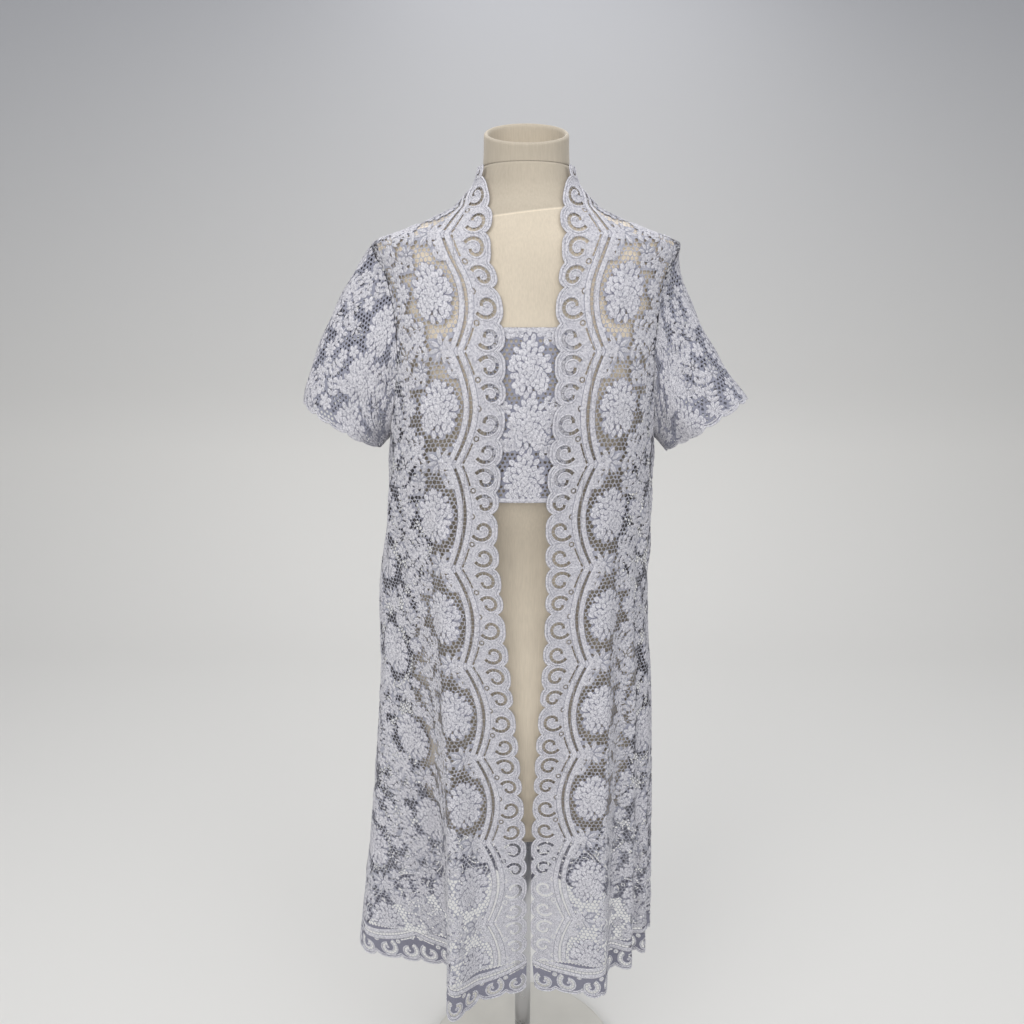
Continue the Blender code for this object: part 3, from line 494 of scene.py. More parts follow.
class Row:
    """One level line round the lace from the right front's edge to the left one's."""

    def __init__(self, z):
        self.z = z
        self.angles = np.linspace(edge_angle("right", z), edge_angle("left", z), 1201)
        self.points = drape(self.angles, z, CREASES + SMALL_CREASES)
        self.lengths = lengths_along(self.points)
        reach, half = armhole_reach(z), SEAM_GAP / 2
        self.seams = {
            "front_right": self.at(90 - ARMHOLE_FRONT * reach) - half,
            "back_right": self.at(90 + ARMHOLE_BACK * reach) + half,
            "back_left": self.at(270 - ARMHOLE_BACK * reach) - half,
            "front_left": self.at(270 + ARMHOLE_FRONT * reach) + half,
        }

    def at(self, angle):
        """Length along the row up to an angle."""
        return float(np.interp(angle, self.angles, self.lengths))

    def angle(self, length):
        """Angle at a length along the row."""
        return float(np.interp(length, self.lengths, self.angles))


def scallop(up):
    """How far the border's outline lies inside its tips, at lengths up the border."""
    up = (np.asarray(up, float) / REPEAT) % 1.0
    inset, low = np.zeros_like(up), 0.0
    for k, one in enumerate(SCALLOPS):
        here = (up >= low) & (up < low + one.share)
        along = (up - low) / one.share
        deep = np.where(along < 0.5, SCALLOPS[k - 1].notch, one.notch)
        inset = np.where(here, deep * np.abs(2 * along - 1) ** 3, inset)
        low += one.share
    return inset


def read(table, row, spot):
    """Bilinear reading of a table at fractional rows and columns."""
    i = np.clip(row.astype(int), 0, table.shape[0] - 2)
    j = np.clip(spot.astype(int), 0, table.shape[1] - 2)
    u, v = np.clip(row - i, 0, 1), np.clip(spot - j, 0, 1)
    if table.ndim == 3:
        u, v = u[:, None], v[:, None]
    low = table[i, j] * (1 - v) + table[i, j + 1] * v
    high = table[i + 1, j] * (1 - v) + table[i + 1, j + 1] * v
    return low * (1 - u) + high * u


class Cloth:
    """Draped cloth that is read at flat places, across it and up it.

    A level is what a row of the drape shares: its height, or its share of a sleeve.
    """

    def __init__(self, levels, rows, across, centres, edge_is_level=False):
        self.levels = np.asarray(levels, float)
        self.low = min(a[0] for a in across)
        count = int((max(a[-1] for a in across) - self.low) / CLOTH_STEP) + 2
        spots = self.low + CLOTH_STEP * np.arange(count)
        self.points = np.array(
            [np.stack([np.interp(spots, a, p[:, k]) for k in range(3)], -1)
             for a, p in zip(across, rows)]
        )
        self.up = lengths_along(self.points)
        if edge_is_level:
            drift = (self.levels - self.levels[0]) - self.up[:, 0]
            self.up = self.up + drift[:, None]
        ladder = np.arange(0, self.up.max() + CLOTH_STEP, CLOTH_STEP)
        self.level_table = np.array([np.interp(ladder, u, self.levels) for u in self.up.T]).T
        normal = np.cross(np.gradient(self.points, axis=1), np.gradient(self.points, axis=0))
        size = np.linalg.norm(normal, axis=2, keepdims=True)
        normal = normal / np.maximum(size, 1e-12)
        middle = len(self.levels) // 2
        probe = int((0.5 * (across[middle][0] + across[middle][-1]) - self.low) / CLOTH_STEP)
        away = self.points[middle, probe] - centres[middle]
        self.hand = 1 if normal[middle, probe] @ away > 0 else -1
        self.normals = normal * self.hand

    def level(self, across, up):
        """Level at flat places."""
        return read(self.level_table, up / CLOTH_STEP, (across - self.low) / CLOTH_STEP)

    def up_at(self, across, level):
        """Length up the cloth at places across it on a level."""
        row = np.interp(level, self.levels, np.arange(len(self.levels)))
        return read(self.up, row, (across - self.low) / CLOTH_STEP)

    def spot(self, across, level, height):
        """Points on the cloth, raised from it by the heights."""
        row = np.interp(level, self.levels, np.arange(len(self.levels)))
        at = (across - self.low) / CLOTH_STEP
        return read(self.points, row, at) + height[:, None] * read(self.normals, row, at)


class Cut:
    """The outline of a piece on its cloth: its ends at each level, and its levels."""

    def __init__(self, cloth, first, last, low, high, fence=None, hem=None):
        self.cloth, self.low, self.high = cloth, low, high
        self.firsts, self.lasts = np.asarray(first, float), np.asarray(last, float)
        self.fence, self.hem = fence, hem

    def first(self, level):
        """Where the piece starts across its cloth, at the levels."""
        return np.interp(level, self.cloth.levels, self.firsts)

    def last(self, level):
        """Where it ends."""
        return np.interp(level, self.cloth.levels, self.lasts)

    def inside(self, across, up):
        """Whether flat places lie on the piece."""
        level = self.cloth.level(across, up)
        good = (level > self.low) & (level < self.high)
        good &= (across > self.first(level)) & (across < self.last(level))
        if self.fence:
            good &= across > self.fence(up)
        if self.hem:
            good &= up > self.hem(across)
        return good

    def flat_size(self):
        """Width, length and area of the cut."""
        here = (self.cloth.levels >= self.low) & (self.cloth.levels <= self.high)
        left, right = self.firsts[here].min(), self.lasts[here].max()
        across = np.arange(left, right, CLOTH_STEP)
        up = np.arange(0, self.cloth.up.max(), CLOTH_STEP)
        x, y = (a.ravel() for a in np.meshgrid(across, up))
        good = self.inside(x, y)
        wide = x[good].max() - x[good].min() + CLOTH_STEP
        tall = y[good].max() - y[good].min() + CLOTH_STEP
        return wide, tall, good.sum() * CLOTH_STEP**2


# ---------------- flat lace


class Flat(namedtuple("Flat", "points faces raised grain")):
    """Lace: points (across, up, height), triangles, which of them are raised, and its grain."""

    def __add__(self, other):
        faces = np.vstack([self.faces, other.faces + len(self.points)])
        raised = np.concatenate([self.raised, other.raised])
        points, grain = (np.vstack([getattr(f, n) for f in (self, other)])
                         for n in ("points", "grain"))
        return Flat(points, faces, raised, grain)


def crosses(points, faces):
    """Cross products of two sides of each triangle."""
    a, b, c = (points[faces[:, k]] for k in range(3))
    return np.cross(b - a, c - a)


def upward(points, faces):
    """Triangles of flat lace, all turned to face up."""
    turned = crosses(points, faces)[:, 2] < 0
    return np.where(turned[:, None], faces[:, ::-1], faces)


ATTRIBUTES = {
    "grain": ("FLOAT_VECTOR", "POINT"),
    "turn": ("FLOAT_VECTOR", "POINT"),
    "size": ("FLOAT_VECTOR", "POINT"),
    "kind": ("INT", "POINT"),
    "raised": ("BOOLEAN", "FACE"),
}


def new_mesh(name, points, faces=(), edges=(), **attributes):
    """A mesh with some of the named attributes."""
    mesh = bpy.data.meshes.new(name)
    mesh.from_pydata(np.asarray(points, float).tolist(), edges, faces)
    for label, values in attributes.items():
        kind, domain = ATTRIBUTES[label]
        held = mesh.attributes.new(label, kind, domain).data
        if kind == "FLOAT_VECTOR":
            held.foreach_set("vector", np.asarray(values, np.float32).ravel())
        else:
            held.foreach_set("value", values)
    return mesh


def new_object(name, data):
    """An object in the scene."""
    thing = bpy.data.objects.new(name, data)
    bpy.context.scene.collection.objects.link(thing)
    return thing


def rows_of(items, label, wide, kind):
    """What a mesh's items hold under a label, a row for each."""
    found = np.empty(len(items) * wide, kind)
    items.foreach_get(label, found)
    return found.reshape(-1, wide)


def flat_from(mesh):
    """Lace out of a mesh, its raised faces those of the motifs' thread."""
    mesh.calc_loop_triangles()
    points = rows_of(mesh.vertices, "co", 3, float)
    faces = rows_of(mesh.loop_triangles, "vertices", 3, int)
    owner = rows_of(mesh.loop_triangles, "polygon_index", 1, int)[:, 0]
    slots = rows_of(mesh.polygons, "material_index", 1, int)[:, 0]
    raised = np.array([bool(m and m.name == MOTIF_THREAD) for m in mesh.materials])
    kept = mesh.attributes.get("grain")
    grain = rows_of(kept.data, "vector", 3, np.float32) if kept else None
    return Flat(points, faces, raised[slots[owner]], grain)


def cut_sheet(outline, holes, shade):
    """One repeat of closely worked ground inside an outline, with convex holes cut through."""
    loops = [np.asarray(outline, float), *holes]
    coords, edges = [], []
    for loop in loops:
        first, count = len(coords), len(loop)
        coords += [Vector(p) for p in loop]
        edges += [(first + k, first + (k + 1) % count) for k in range(count)]
    low, high = loops[0].min(0), loops[0].max(0)
    xs, ys = (np.arange(low[k] + SHEET_STEP / 2, high[k], SHEET_STEP) for k in range(2))
    coords += [Vector((x, y)) for y in ys for x in xs]
    verts, _, faces, *_ = delaunay_2d_cdt(coords, edges, [], 1, 1e-5)
    points = np.array([(*v, 0.0) for v in verts])
    faces = np.array([f for f in faces if len(f) == 3])
    middle = points[faces].mean(1)[:, :2]
    keep = np.ones(len(faces), bool)
    for hole in loops[1:]:
        inside = np.abs(middle - hole.mean(0)).max(1) < HOLE_REACH
        hand = np.sign(polygon_area(hole))
        for a, b in zip(hole, np.roll(hole, -1, axis=0)):
            side = (b[0] - a[0]) * (middle[:, 1] - a[1]) - (b[1] - a[1]) * (middle[:, 0] - a[0])
            inside &= side * hand > 0
        keep &= ~inside
    used, faces = np.unique(upward(points, faces[keep]), return_inverse=True)
    points, faces = points[used], faces.reshape(-1, 3)
    # the grain's last part sets how much the ground is darkened as painted shade
    grain = np.column_stack([points[:, :2] * CORD_GRAIN, np.full(len(points), shade)])
    return Flat(points * MM, faces, np.ones(len(faces), bool), grain)


def polygon_area(loop):
    """Signed area of a loop."""
    x, y = loop[:, 0], loop[:, 1]
    return 0.5 * float(np.sum(x * np.roll(y, -1) - y * np.roll(x, -1)))


def along_path(path, step):
    """Points and directions at equal steps along a path."""
    lengths = lengths_along(path)
    count = max(1, round(lengths[-1] / step))
    at = np.linspace(0, lengths[-1], count + 1)
    points = np.stack([np.interp(at, lengths, path[:, k]) for k in range(2)], -1)
    ways = np.gradient(points, axis=0)
    return points, ways / np.linalg.norm(ways, axis=1, keepdims=True)


def slots_along(path, wide, step, bar):
    """Holes along a path with narrow bars between them."""
    points, ways = along_path(path, step)
    sides = np.stack([-ways[:, 1], ways[:, 0]], -1) * wide / 2
    holes = []
    for a, b, low, high in zip(points[:-1], points[1:], sides[:-1], sides[1:]):
        gap = bar / 2 / np.linalg.norm(b - a) * (b - a)
        holes.append(np.array([a + gap - low, b - gap - high, b - gap + high, a + gap + low]))
    return holes


# A petal, leaf or dot: its kind, place, turn, size, relief and how high it lies.
Shape = namedtuple("Shape", "kind across up turn long wide relief lift")
PETAL, LEAF, DOT = 0, 1, 2


def arc_line(up):
    """Middle of the ladder between the stripes, in millimetres."""
    share = (up / TALL) % 1.0
    return ARC_BELLY + (ARC_CUSP - ARC_BELLY) * np.abs(2 * share - 1) ** ARC_POWER


def edge_line(up):
    """The border's scalloped outline, in millimetres."""
    return scallop(up * MM) / MM


def repeat_path(line, count, shift=0.0):
    """Points (across, up) of a line, or beside it, over one repeat."""
    ups = np.linspace(0, TALL, count)
    return np.stack([line(ups) + shift, ups], -1)


def hook_path(hook, extra=0.0):
    """A scroll's curl, or one that runs beside it."""
    turn = np.linspace(0, 1, 30)
    angle = np.radians(hook.start + hook.sweep * turn)
    radius = hook.radius * (HOOK_OUT - HOOK_IN * turn) + extra
    return np.stack([hook.across + radius * np.cos(angle), hook.up + radius * np.sin(angle)], -1)


def circle(across, up, radius):
    """A closed path round a place."""
    turn = np.linspace(0, 2 * math.pi, 13)
    return np.stack([across + radius * np.cos(turn), up + radius * np.sin(turn)], -1)


def clipped(loop, low, high):
    """A convex loop's part between two lengths across the cloth."""
    for limit, keep in ((low, 1), (high, -1)):
        kept = []
        for k in range(len(loop)):
            a, b = loop[k - 1], loop[k]
            a_in, b_in = keep * (a[0] - limit) >= 0, keep * (b[0] - limit) >= 0
            if a_in != b_in:
                kept.append(a + (limit - a[0]) / (b[0] - a[0]) * (b - a))
            if b_in:
                kept.append(b)
        loop = np.array(kept)
        if len(loop) < 3:
            return None
    return loop if abs(polygon_area(loop)) > LEAST_HOLE else None


def ladder_holes(low, high):
    """Holes of the ladder, and of the slots beside the cusps, between two lengths across."""
    holes = slots_along(repeat_path(arc_line, 121), LADDER_WIDE, RUNG_STEP, RUNG)
    inner = repeat_path(arc_line, 121, -CUSP_AWAY)
    share = inner[:, 1] / TALL
    for run in (inner[share < CUSP_SHARE], inner[share > 1 - CUSP_SHARE]):
        holes += slots_along(run[1:-1], CUSP_WIDE, RUNG_STEP, RUNG)
    whole = [h for h in holes if h[:, 1].min() > 0.2 and h[:, 1].max() < TALL - 0.2]
    parts = [clipped(hole, low, high) for hole in whole]
    return [part for part in parts if part is not None]


def border_sheet(wide, shade):
    """One repeat of the scalloped border's ground, its scrolls and ladder cut through."""
    outline = [*repeat_path(edge_line, 82), *((wide, u) for u in np.linspace(TALL, 0, 27))]
    holes = ladder_holes(0, wide - HOLE_MARGIN)
    for hook in HOOKS:
        holes += slots_along(hook_path(hook), SLOT_WIDE, SLOT_STEP, SLOT_BAR)
    for across, up, radius in RINGS:
        if across + radius + 1.5 < wide:
            holes += slots_along(circle(across, up, radius), *RING_SLOTS)
    return cut_sheet(outline, holes, shade)


def stripe_sheet():
    """One repeat of the ground under the stripes beyond the border."""
    low = (BORDER_WIDE + JOIN) / MM
    outer = repeat_path(arc_line, 41, STRIPE_AWAY)
    outline = [*((low, u) for u in outer[:, 1]), *outer[::-1]]
    return cut_sheet(outline, ladder_holes(low + HOLE_MARGIN, WIDE), BORDER_SHADE)


def fence(up):
    """Where the net begins, under the outer stripe."""
    return (arc_line(up / MM) + STRIPE_AWAY) * MM


def flower_shapes(f):
    """A small flower's petals and eye."""
    shapes, start = [], PETAL_START * f.size
    wide = PETALS_WIDE[f.kind] / f.petals * f.size
    for k in range(f.petals):
        turn = 2 * math.pi * k / f.petals + 0.3 * f.across
        x, y = f.across + start * math.cos(turn), f.up + start * math.sin(turn)
        kind = LEAF if f.kind == "pointed" else PETAL
        shapes.append(Shape(kind, x, y, turn, f.size - start, wide, 1.0, 0.1))
    return [*shapes, Shape(DOT, f.across, f.up, 0.0, EYE * f.size, EYE * f.size, 1.0, 0.5)]


def large_flower():
    """The large flower's rings of petals, each petal a little uneven in length and heading."""
    shapes = []
    for row, (reach, count) in enumerate(LARGE):
        for k in range(count):
            turn = 2 * math.pi * (k + 0.5 * row) / count + 0.10 * math.sin(5 * k + row)
            across, up = math.cos(turn), LARGE_STRETCH * math.sin(turn)
            heading = math.atan2(up, across) + 0.22 * math.sin(7.3 * k + 2 * row)
            long = PETAL_LONG * (0.92 + 0.12 * math.sin(3.7 * k + 2 * row)) * (1 - 0.07 * row)
            apart = 2 * math.pi * reach / count * math.hypot(math.sin(turn), LARGE_STRETCH * across)
            tips = reach + 0.9 * math.sin(4.1 * k + 3 * row)
            x, y = tips * across - long * math.cos(heading), tips * up - long * math.sin(heading)
            wide = PETAL_LAP * min(apart, 9.6)
            shapes.append(Shape(PETAL, x, y, heading, long, wide, 0.5, LARGE_STEP * row))
    return shapes


def sprigs():
    """Petals, leaves and dots of a column's small flowers and stems."""
    shapes = []
    for f in FLOWERS:
        shapes += flower_shapes(f)
    for stem in STEMS:
        points, ways = along_path(round_path(stem), LEAF_STEP)
        for k in range(len(points)):
            for side in (-1, 1):
                turn = math.atan2(ways[k, 1], ways[k, 0]) + side * (LEAF_TURN + 0.12 * (k % 3))
                long = LEAF_LONG * (0.78 + 0.11 * ((k + side) % 3))
                shapes.append(Shape(LEAF, *points[k], turn, long, LEAF_WIDE, 0.9, 0.0))
        heading = math.atan2(ways[-1, 1], ways[-1, 0])
        shapes.append(Shape(PETAL, *points[-1], heading, BUD_LONG, BUD_WIDE, 1.0, 0.1))
    return shapes


def round_path(points):
    """A smooth path through a few points."""
    points = np.asarray(points, float)
    spots = np.linspace(0, len(points) - 1, 4 * len(points))
    at = np.arange(len(points))
    return np.stack([smooth(at, points[:, k], spots) for k in range(2)], -1)


def over_tile(shapes):
    """A column's shapes on a tile of the field: two columns, half a repeat apart."""
    return [s._replace(across=s.across + x, up=s.up + y) for x, y in COLUMNS for s in shapes]


def stem_paths():
    """The stems of a tile of the field."""
    return [round_path(stem) + place for place in COLUMNS for stem in STEMS]


def covered(spots, shapes):
    """How deep each spot of the tile lies under its motifs: over 1 is outside them all."""
    least = np.full(len(spots), 9.0)
    for kind, x, y, turn, long, wide, _, _ in shapes:
        cosine, sine, middle = math.cos(turn), math.sin(turn), 0.5 * long * (kind != DOT)
        dx = (spots[:, 0] - (x + middle * cosine) + WIDE / 2) % WIDE - WIDE / 2
        dy = (spots[:, 1] - (y + middle * sine) + TALL / 2) % TALL - TALL / 2
        along, aside = dx * cosine + dy * sine, dy * cosine - dx * sine
        reach = np.hypot(along / (0.5 * long + 0.8), aside / (0.5 * wide + 0.8))
        least = np.minimum(least, reach)
    return least


def field_net(shapes, wide_open, half_open, plain, under):
    """The field's net of hexagons, open between the motifs and closed under them."""
    rows, columns = round(TALL / CELL_ROW), round(WIDE / CELL)
    j, i = (a.ravel() for a in np.meshgrid(np.arange(columns), np.arange(rows)))
    x = (j + 0.5 * (i % 2) + 0.25) * CELL
    y = (i + 0.5) * CELL_ROW
    corners = np.array([(0, 2), (-1, 1), (-1, -1), (0, -2), (1, -1), (1, 1)])
    place = np.stack([np.round(x[:, None] / (CELL / 2) + corners[:, 0] - 0.5).astype(int),
                      np.round(y[:, None] / (CELL_ROW / 3) + corners[:, 1] - 0.5).astype(int)], -1)
    keys, faces = np.unique(place.reshape(-1, 2), axis=0, return_inverse=True)
    faces = faces.reshape(-1, 6)
    spots = np.stack([(keys[:, 0] + 0.5) * CELL / 2, (keys[:, 1] + 0.5) * CELL_ROW / 3], -1)
    drawn = np.random.default_rng(7).uniform(-STRAY, STRAY, (2 * columns, 3 * rows, 2))
    spots += drawn[keys[:, 0] % (2 * columns), keys[:, 1] % (3 * rows)]
    middles = spots[faces].mean(1)
    depth = covered(middles, shapes)
    turns = 2 * math.pi * middles / (WIDE, TALL)
    drift = WANDER * np.sin(3 * turns[:, 0] + 1.0) * np.sin(2 * turns[:, 1])
    hole = np.where(depth + drift < HALF_OPEN, half_open, wide_open)
    hole[depth < CLOSED] = 0.0
    closed = faces[(hole == 0) & (depth > HIDDEN)]
    triangles = [closed[:, [0, k, k + 1]] for k in range(1, 5)]
    rim, middle, share = (a[hole > 0] for a in (faces, middles[:, None], hole[:, None, None]))
    inner = middle + share * (spots[rim] - middle)
    inside = len(spots) + np.arange(rim.size).reshape(-1, 6)
    for k in range(6):
        n = (k + 1) % 6
        triangles += [np.stack([rim[:, k], rim[:, n], inside[:, n]], -1),
                      np.stack([rim[:, k], inside[:, n], inside[:, k]], -1)]
    points, faces = np.vstack([spots, inner.reshape(-1, 2)]), np.vstack(triangles)
    # painted shade: the ground under the motifs takes the darker value
    shade = np.where(covered(points, shapes) < SHADED, under, plain)
    grain = np.column_stack([points * MM, shade])
    points = np.column_stack([points * MM, np.zeros(len(points))])
    return Flat(points, faces, np.zeros(len(faces), bool), grain)


# ---------------- geometry nodes


def new_tree(name, kind, inputs, outputs):
    """An empty node tree with named sockets: it, its inputs and its last node."""
    tree = bpy.data.node_groups.new(name, kind)
    for way, sockets in (("INPUT", inputs), ("OUTPUT", outputs)):
        for label, sort in sockets.items():
            tree.interface.new_socket(label, in_out=way, socket_type="NodeSocket" + sort)
    return tree, tree.nodes.new("NodeGroupInput").outputs, tree.nodes.new("NodeGroupOutput")


def geometry_tree(name, **inputs):
    """An empty tree that takes geometry and named inputs, and gives geometry."""
    inputs = {"Geometry": "Geometry", **inputs}
    return new_tree(name, "GeometryNodeTree", inputs, {"Geometry": "Geometry"})


def fill_in(node, inputs):
    """Sets a node's inputs to values, or links them to other nodes' sockets."""
    for key, value in inputs.items():
        if isinstance(value, bpy.types.NodeSocket):
            node.id_data.links.new(value, node.inputs[key])
        else:
            node.inputs[key].default_value = value


def add_node(tree, kind, inputs, wanted=None, **settings):
    """The wanted output of a new node, or its first one."""
    node = tree.nodes.new(kind)
    for key, value in settings.items():
        setattr(node, key, value)
    fill_in(node, inputs)
    return node.outputs[wanted] if wanted else next(s for s in node.outputs if s.enabled)


def add_math(tree, operation, *values):
    """A sum on values or sockets."""
    return add_node(tree, "ShaderNodeMath", dict(enumerate(values)), operation=operation)


def add_attribute(tree, name):
    """A named attribute of the geometry."""
    kind = ATTRIBUTES[name][0]
    return add_node(tree, "GeometryNodeInputNamedAttribute", {"Name": name}, data_type=kind)


def add_material(tree, geometry, material, chosen=True):
    """Geometry with a material on all of it or on the chosen faces."""
    return add_node(tree, "GeometryNodeSetMaterial",
                    {"Geometry": geometry, "Selection": chosen, "Material": material})


def add_real(tree, geometry):
    """Geometry with its instances made real."""
    return add_node(tree, "GeometryNodeRealizeInstances", {"Geometry": geometry})


def shapes_tree():
    """Tree that sets petals, leaves and dots on points by their kind, turn and size."""
    tree, entry, leave = geometry_tree("Set motifs on points", Petal="Object", Leaf="Object",
                                       Dot="Object", Relief="Float", Material="Material")
    kind, turn, size = (add_attribute(tree, name) for name in ("kind", "turn", "size"))
    relief = add_node(tree, "ShaderNodeCombineXYZ", {"X": 1.0, "Y": 1.0, "Z": entry["Relief"]})
    scale = add_node(tree, "ShaderNodeVectorMath", {0: size, 1: relief}, operation="MULTIPLY")
    join = add_node(tree, "GeometryNodeJoinGeometry", {})
    for number, label in enumerate(("Petal", "Leaf", "Dot")):
        same = add_node(tree, "FunctionNodeCompare", {2: kind, 3: number}, data_type="INT",
                        operation="EQUAL")
        shape = add_node(tree, "GeometryNodeObjectInfo", {"Object": entry[label]}, "Geometry")
        set_on = add_node(tree, "GeometryNodeInstanceOnPoints",
                          {"Points": entry["Geometry"], "Selection": same, "Instance": shape,
                           "Rotation": turn, "Scale": scale})
        fill_in(join.node, {"Geometry": set_on})
    fill_in(leave, {"Geometry": add_material(tree, add_real(tree, join), entry["Material"])})
    return tree


def cords_tree():
    """Tree that runs a flat rounded cord along every chain of edges."""
    tree, entry, leave = geometry_tree("Run cords along paths", Width="Float", Height="Float",
                                       Material="Material")
    curve = add_node(tree, "GeometryNodeMeshToCurve", {"Mesh": entry["Geometry"]})
    curve = add_node(tree, "GeometryNodeSetCurveNormal", {"Curve": curve}, mode="Z_UP")
    profile = {"Resolution": 4}
    for label, axis, size, share in (("Start", "X", "Width", -0.5), ("Middle", "Y", "Height", -2.0),
                                     ("End", "X", "Width", 0.5)):
        place = add_math(tree, "MULTIPLY", entry[size], share)
        profile[label] = add_node(tree, "ShaderNodeCombineXYZ", {axis: place})
    profile = add_node(tree, "GeometryNodeCurveQuadraticBezier", profile)
    sweep = add_node(tree, "GeometryNodeCurveToMesh", {"Curve": curve, "Profile Curve": profile})
    fill_in(leave, {"Geometry": add_material(tree, add_real(tree, sweep), entry["Material"])})
    return tree


def repeat_tree():
    """Tree that repeats a tile of lace across and up, and joins the tiles."""
    tree, entry, leave = geometry_tree("Repeat a lace tile", Across="Int", Up="Int",
                                       Wide="Float", Tall="Float", Ground="Material",
                                       Raised="Material")
    part = entry["Geometry"]
    for count, pitch, axis in (("Up", "Tall", "Y"), ("Across", "Wide", "X")):
        offset = add_node(tree, "ShaderNodeCombineXYZ", {axis: entry[pitch]})
        line = add_node(tree, "GeometryNodeMeshLine", {"Count": entry[count], "Offset": offset})
        part = add_node(tree, "GeometryNodeInstanceOnPoints", {"Points": line, "Instance": part})
        part = add_real(tree, part)
    merge = add_node(tree, "GeometryNodeMergeByDistance", {"Geometry": part, "Distance": MERGE})
    ground = add_material(tree, add_real(tree, merge), entry["Ground"])
    whole = add_material(tree, ground, entry["Raised"], add_attribute(tree, "raised"))
    fill_in(leave, {"Geometry": whole})
    return tree


def run_tree(tree, mesh, **values):
    """The lace that a tree makes of a mesh."""
    source = new_object("source", mesh)
    modifier = source.modifiers.new("Nodes", "NODES")
    modifier.node_group = tree
    for socket in tree.interface.items_tree:
        if socket.name in values:
            modifier[socket.identifier] = values[socket.name]
    graph = bpy.context.evaluated_depsgraph_get()
    made = bpy.data.meshes.new_from_object(source.evaluated_get(graph), depsgraph=graph)
    flat = flat_from(made)
    bpy.data.objects.remove(source, do_unlink=True)
    for one in (mesh, made):
        bpy.data.meshes.remove(one)
    return flat


def shape_object(name, points, faces):
    """A petal, leaf or dot of unit size that the trees set out.

    A point is (along, across, height, rim), and rim is 1 on the outlines.
    """
    points = np.array(points)
    thing = new_object(name, new_mesh(name, points[:, :3], faces, grain=points[:, [0, 1, 3]]))
    thing.hide_render = True
    return thing


def petal_points():
    """Rounded petal along +X with a raised middle."""
    points, faces = [], []
    for x, wide, high in ((0.0, 0.26, 0.25), (0.34, 0.46, 0.8), (0.66, 0.47, 1.0),
                          (0.87, 0.28, 0.6)):
        points += [(x, wide, 0.0, 1.0), (x, 0.0, high, 0.0), (x, -wide, 0.0, 1.0)]
    points.append((1.0, 0.0, 0.0, 1.0))
    for a in (0, 3, 6):
        faces += [(a + 1, a + 4, a + 3, a), (a + 2, a + 5, a + 4, a + 1)]
    faces += [(10, 12, 9), (11, 12, 10)]
    return points, faces


def leaf_points():
    """Pointed leaf along +X with a sunk vein."""
    points, faces = [(0.0, 0.0, 0.0, 0.8)], []
    for x, wide in ((0.30, 0.44), (0.66, 0.42)):
        points += [(x, wide, 0.0, 0.8), (x, 0.5 * wide, 1.0, 0.0), (x, 0.0, 0.45, 0.75),
                   (x, -0.5 * wide, 1.0, 0.0), (x, -wide, 0.0, 0.8)]
    points.append((1.0, 0.0, 0.0, 0.8))
    for k in range(4):
        faces += [(0, 2 + k, 1 + k), (11, 6 + k, 7 + k), (2 + k, 7 + k, 6 + k, 1 + k)]
    return points, faces


def dot_points():
    """Small dome."""
    sides, points, faces = 6, [(0.0, 0.0, 1.0, 0.0)], []
    for radius, high, rim in ((0.34, 0.75, 0.0), (0.5, 0.0, 0.9)):
        for k in range(sides):
            turn = 2 * math.pi * k / sides
            points.append((radius * math.cos(turn), radius * math.sin(turn), high, rim))
    for k in range(sides):
        n = (k + 1) % sides
        faces += [(0, 1 + k, 1 + n), (1 + k, 1 + sides + k, 1 + sides + n, 1 + n)]
    return points, faces


# ---------------- materials


def new_material(name):
    """A material, its node tree and its shader."""
    made = bpy.data.materials.new(name)
    made.use_nodes = True
    return made, made.node_tree, made.node_tree.nodes["Principled BSDF"]


def rgba(colour, share=1.0):
    """A share of a colour, with its alpha."""
    return (*(min(1.0, share * c) for c in colour), 1.0)


def add_span(tree, value, low, high, first=0.0, last=1.0):
    """A value spread from the one span to the other."""
    return add_node(tree, "ShaderNodeMapRange", {"Value": value, "From Min": low, "From Max": high,
                                                 "To Min": first, "To Max": last})


def add_mix(tree, factor, dark, light):
    """A colour between two."""
    return add_node(tree, "ShaderNodeMix", {"Factor": factor, "A": dark, "B": light},
                    data_type="RGBA")


def add_noise(tree, vector, scale, detail, roughness=0.5):
    """Soft noise."""
    return add_node(tree, "ShaderNodeTexNoise", {"Vector": vector, "Scale": scale,
                                                 "Detail": detail, "Roughness": roughness})


def add_place(tree):
    """The place on the object."""
    return add_node(tree, "ShaderNodeTexCoord", {}, "Object")


def add_bump(tree, height, strength, distance):
    """The normal of a bumpy surface."""
    return add_node(tree, "ShaderNodeBump",
                    {"Height": height, "Strength": strength, "Distance": distance})


def thread_group():
    """Threads that run along a grain: a colour between two tones and a height."""
    tree, entry, leave = new_tree(
        "Thread", "ShaderNodeTree",
        {"Vector": "Vector", "Dark": "Color", "Light": "Color", "Fine": "Float",
         "Uneven": "Float"}, {"Color": "Color", "Height": "Float"},
    )
    scaled = add_node(tree, "ShaderNodeVectorMath", {0: entry["Vector"], "Scale": entry["Fine"]},
                      operation="SCALE")
    wave = add_node(tree, "ShaderNodeTexWave",
                    {"Vector": scaled, "Scale": 1.0, "Distortion": 2.2, "Detail": 2.0,
                     "Detail Scale": 1.6}, "Fac", bands_direction="Y")
    noise = add_noise(tree, add_place(tree), entry["Uneven"], 4.0, 0.62)
    height = add_math(tree, "MULTIPLY_ADD", noise, 1.05, add_math(tree, "MULTIPLY", wave, 0.42))
    rim = add_node(tree, "ShaderNodeSeparateXYZ", {"Vector": entry["Vector"]}, "Z")
    lit = add_span(tree, rim, 0.66, 0.86, 1.0, 0.0)  # painted shade: the grain's last part darkens the rims, the ground under the motifs and the darker pieces
    lit = add_math(tree, "MULTIPLY", add_span(tree, height, 0.38, 0.92), lit)
    fill_in(leave, {"Color": add_mix(tree, lit, entry["Dark"], entry["Light"]), "Height": height})
    return tree


